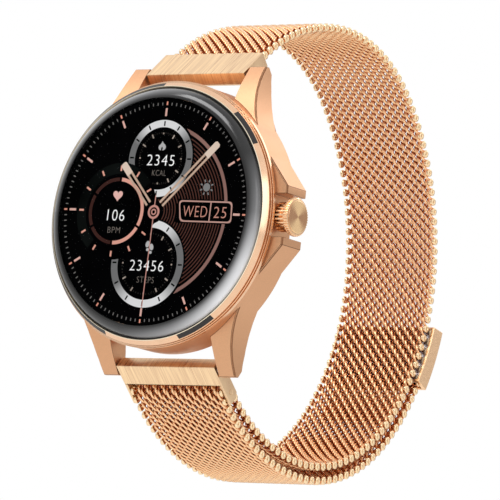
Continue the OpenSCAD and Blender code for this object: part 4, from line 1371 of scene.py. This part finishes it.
def make_crown():
    x0, x1 = KNOB_LO.x, KNOB_HI.x
    flange_x = x1 + 0.12 * MM - FLANGE_LEN

    def fluted(inset):
        return lambda a: BODY_R - inset - FLUTE_DEPTH * (0.5 - 0.5 * math.cos(FLUTES * a)) ** 2.6

    def toothed(inset, depth=TOOTH_DEPTH):
        def radius(a):
            wave = math.cos(TEETH * a)
            flat = max(-1.0, min(1.0, wave * 1.7))
            return FLANGE_R - inset - depth * (0.5 - 0.5 * flat)
        return radius

    soft = 0.1 * MM
    bore = 0.755 * MM
    radius = (CAP_HI.z - CAP_LO.z) / 2
    cap_r, cap_x = radius + 0.01 * MM, x1 - 0.23 * MM
    stations = [(x0, bore), (x0, fluted(soft)), (x0 + soft, fluted(0)),
                (flange_x - 0.02 * MM, fluted(0)), (flange_x, toothed(soft)),
                (flange_x + soft, toothed(0)), (x1 - 0.2 * MM, toothed(0)),
                (x1 - 0.04 * MM, toothed(0.14 * MM, 0.12 * MM)), (x1, FLANGE_R - 0.36 * MM),
                (x1, cap_r), (cap_x, cap_r), (cap_x, bore)]
    build("crown_grip", *crown_turned(stations, 528), "crown", "crown_gold", ("crown_knob",),
          crease=35)
    profile = [(CAP_LO.x, 0.0), (CAP_LO.x, radius), (CAP_HI.x - 0.06 * MM, radius),
               (CAP_HI.x, radius - 0.08 * MM), (CAP_HI.x, radius * 0.5), (CAP_HI.x, 0.0)]
    build("crown_face", *crown_turned(profile, 96), "crown", "spun_gold", ("crown_cap",))


# ---- stage ------------------------------------------------------------------------------------

CAMERA_TOWARD = Vector((0.591, -0.794, -0.144)).normalized()
CAMERA_RIGHT = Vector((0.807, 0.582, 0.102))
SENSOR = 36.0
# Where the dial's centre stands in the frame, in frame widths right of and below the middle
DIAL_OFFSET = (-0.1928, -0.0762)


def make_camera():
    st = bpy.context.scene.watch_stage
    camera = bpy.data.objects.new("camera", bpy.data.cameras.new("camera"))
    bpy.context.scene.collection.objects.link(camera)
    camera.data.lens, camera.data.sensor_width = st.lens, SENSOR
    camera.data.clip_start, camera.data.clip_end = 0.05, 20
    target = Vector((0, -GLASS_IN_H, 0))
    right = (CAMERA_RIGHT - CAMERA_RIGHT.dot(CAMERA_TOWARD) * CAMERA_TOWARD).normalized()
    up = CAMERA_TOWARD.cross(right)
    reach = st.lens / SENSOR
    ahead = (-CAMERA_TOWARD * reach - right * DIAL_OFFSET[0] + up * DIAL_OFFSET[1]).normalized()
    right = (right - right.dot(ahead) * ahead).normalized()
    up = right.cross(ahead)
    turned = Matrix((right, up, -ahead)).transposed().to_4x4()
    camera.matrix_world = Matrix.Translation(target + CAMERA_TOWARD * st.distance) @ turned
    bpy.context.scene.camera = camera


def add_light(name, place, target, width, height, power, tint=(1, 1, 1)):
    data = bpy.data.lights.new(name, "AREA")
    data.shape, data.size, data.size_y, data.energy, data.color = (
        "RECTANGLE", width, height, power, tint)
    light = bpy.data.objects.new(name, data)
    bpy.context.scene.collection.objects.link(light)
    light.location = place
    light.rotation_mode = "QUATERNION"
    light.rotation_quaternion = (Vector(target) - Vector(place)).to_track_quat("-Z", "Y")


def make_world():
    """White to the camera, and to everything else pale above and grey below."""
    world = bpy.data.worlds.new("studio")
    bpy.context.scene.world = world
    world.use_nodes = True
    w, nodes = Wires(world.node_tree), world.node_tree.nodes
    plain = w.fill(nodes["Background"], Color=(1, 1, 1, 1))
    up = w.axes(w.add("ShaderNodeTexCoord", "Generated"))["Z"]
    tint = two_tone(w, w.math("MULTIPLY_ADD", up, 0.5, 0.5), (0.16, 0.15, 0.14, 1),
                    (0.98, 0.98, 0.98, 1), (0.2, 0.75))
    soft = w.add("ShaderNodeBackground", "Background", Color=tint)
    seen = w.add("ShaderNodeLightPath", "Is Camera Ray")
    mix = w.in_order("ShaderNodeMixShader", seen)
    w.join(soft, mix.inputs[1])
    w.join(plain.outputs["Background"], mix.inputs[2])
    w.fill(nodes["World Output"], Surface=mix.outputs["Shader"])


def make_floor():
    depth = -bpy.context.scene.watch_stage.floor_depth
    half = 3.0
    mesh = bpy.data.meshes.new("floor")
    mesh.from_pydata([(-half, -half, depth), (half, -half, depth), (half, half, depth),
                      (-half, half, depth)], [], [(0, 1, 2, 3)])
    floor = bpy.data.objects.new("floor", mesh)
    bpy.context.scene.collection.objects.link(floor)
    mesh.materials.append(finish("floor_paper", (0.8, 0.8, 0.79), 40, metallic=0.0,
                                 rough=(0.7, 0.85), tone=0.02))


# ---- operators --------------------------------------------------------------------------------

class WATCH_OT_case(Operator):
    """Chamfers the case's edges, paints a dark reflection line on the chamfers, and gives it a
    blasted finish
    """
    bl_idname = "watch.case"
    bl_label = "Case"
    bl_options = {"REGISTER", "UNDO"}

    def execute(self, context):
        chamfered("case_shell", "mid_case", "case", "satin_case", 0.06 * MM,
                  [skin("satin_case"), painted_edge_reflection()])
        return {"FINISHED"}


class WATCH_OT_bezel(Operator):
    """Turns the bezel, with its grooves, steps and dark inlays"""
    bl_idname = "watch.bezel"
    bl_label = "Bezel"
    bl_options = {"REGISTER", "UNDO"}

    def execute(self, context):
        make_bezel()
        make_inlays()
        return {"FINISHED"}


class WATCH_OT_glass(Operator):
    """Makes the domed glass and its black rim"""
    bl_idname = "watch.glass"
    bl_label = "Glass"
    bl_options = {"REGISTER", "UNDO"}

    def execute(self, context):
        make_glass()
        return {"FINISHED"}


class WATCH_OT_dial(Operator):
    """Lights the display with its hands, sub-dials, marks and readings"""
    bl_idname = "watch.dial"
    bl_label = "Dial"
    bl_options = {"REGISTER", "UNDO"}

    def execute(self, context):
        make_display()
        make_fine_arcs()
        make_subdials()
        make_left_dial()
        make_date()
        make_icons()
        make_readings()
        make_marks()
        make_hands()
        return {"FINISHED"}


class WATCH_OT_crown(Operator):
    """Cuts the crown's flutes and teeth and spins its face"""
    bl_idname = "watch.crown"
    bl_label = "Crown"
    bl_options = {"REGISTER", "UNDO"}

    def execute(self, context):
        make_crown()
        return {"FINISHED"}


class WATCH_OT_links(Operator):
    """Breaks the edges of the end link and the clasp ring and brushes them"""
    bl_idname = "watch.links"
    bl_label = "Links"
    bl_options = {"REGISTER", "UNDO"}

    def execute(self, context):
        chamfered("end_link", "top_end_link", "upper_strap", "brushed_gold", 0.08 * MM)
        chamfered("fold_ring", "clasp_ring", "lower_strap", "brushed_gold", 0.08 * MM)
        return {"FINISHED"}


class WATCH_OT_mesh(Operator):
    """Weaves the strap's wire along the loop"""
    bl_idname = "watch.mesh"
    bl_label = "Woven mesh"
    bl_options = {"REGISTER", "UNDO"}

    def execute(self, context):
        make_weave()
        return {"FINISHED"}


class WATCH_OT_clasp(Operator):
    """Breaks the clasp's edges and brushes it"""
    bl_idname = "watch.clasp"
    bl_label = "Clasp"
    bl_options = {"REGISTER", "UNDO"}

    def execute(self, context):
        chamfered("clasp_cover", "clasp_shell", "flap", "brushed_gold", 0.1 * MM, clasp_gold())
        return {"FINISHED"}


class WATCH_OT_rear(Operator):
    """Finishes the rear cover and its window"""
    bl_idname = "watch.rear"
    bl_label = "Rear"
    bl_options = {"REGISTER", "UNDO"}

    def execute(self, context):
        chamfered("rear_plate", "rear_cover", "case", "rear_shell", 0.06 * MM)
        chamfered("rear_window", "sensor_window", "case", "dark_window", 0.05 * MM)
        return {"FINISHED"}


class WATCH_OT_works(Operator):
    """Gives each remaining CAD piece the finish that the record names"""
    bl_idname = "watch.works"
    bl_label = "Works"
    bl_options = {"REGISTER", "UNDO"}

    def execute(self, context):
        named = {row["node"]: row["material_slot"] for row in frame["record"]["subparts"]}
        for node, obj in frame["nodes"].items():
            if not obj.hide_render:
                obj.data.materials.clear()
                obj.data.materials.append(skin(named[node]))
        return {"FINISHED"}


class WATCH_OT_stage(Operator):
    """Sets up the floor, the lights and the camera"""
    bl_idname = "watch.stage"
    bl_label = "Stage"
    bl_options = {"REGISTER", "UNDO"}

    def execute(self, context):
        context.scene.view_settings.view_transform = "Standard"
        context.scene.view_settings.look = "None"
        make_world()
        make_floor()
        middle = (0, 0.02, 0)
        add_light("key", (-0.25, -0.6, 0.75), middle, 0.5, 0.4, 4.5)
        add_light("side", (0.9, -0.35, 0.25), middle, 0.35, 0.6, 1.1)
        add_light("back", (0.1, 0.8, 0.5), middle, 0.6, 0.4, 1.0)
        make_camera()
        return {"FINISHED"}


STEPS = [WATCH_OT_case, WATCH_OT_bezel, WATCH_OT_glass, WATCH_OT_dial, WATCH_OT_crown,
         WATCH_OT_links, WATCH_OT_mesh, WATCH_OT_clasp, WATCH_OT_rear, WATCH_OT_works,
         WATCH_OT_stage]


class WATCH_PT_panel(Panel):
    bl_label = "Watch"
    bl_idname = "WATCH_PT_panel"
    bl_space_type = "VIEW_3D"
    bl_region_type = "UI"
    bl_category = "Watch"

    def draw(self, context):
        for name, group in GROUPS.items():
            box = self.layout.box()
            for prop in group.__annotations__:
                box.prop(getattr(context.scene, name), prop)
        for step in STEPS:
            self.layout.operator(step.bl_idname)


def register():
    for name, group in GROUPS.items():
        bpy.utils.register_class(group)
        setattr(bpy.types.Scene, name, PointerProperty(type=group))
    for step in STEPS:
        bpy.utils.register_class(step)
    bpy.utils.register_class(WATCH_PT_panel)


def unregister():
    bpy.utils.unregister_class(WATCH_PT_panel)
    for step in reversed(STEPS):
        bpy.utils.unregister_class(step)
    for name, group in GROUPS.items():
        delattr(bpy.types.Scene, name)
        bpy.utils.unregister_class(group)


def main():
    register()
    for step in STEPS:
        getattr(bpy.ops.watch, step.bl_idname.split(".")[1])()


if __name__ == "__main__":
    main()
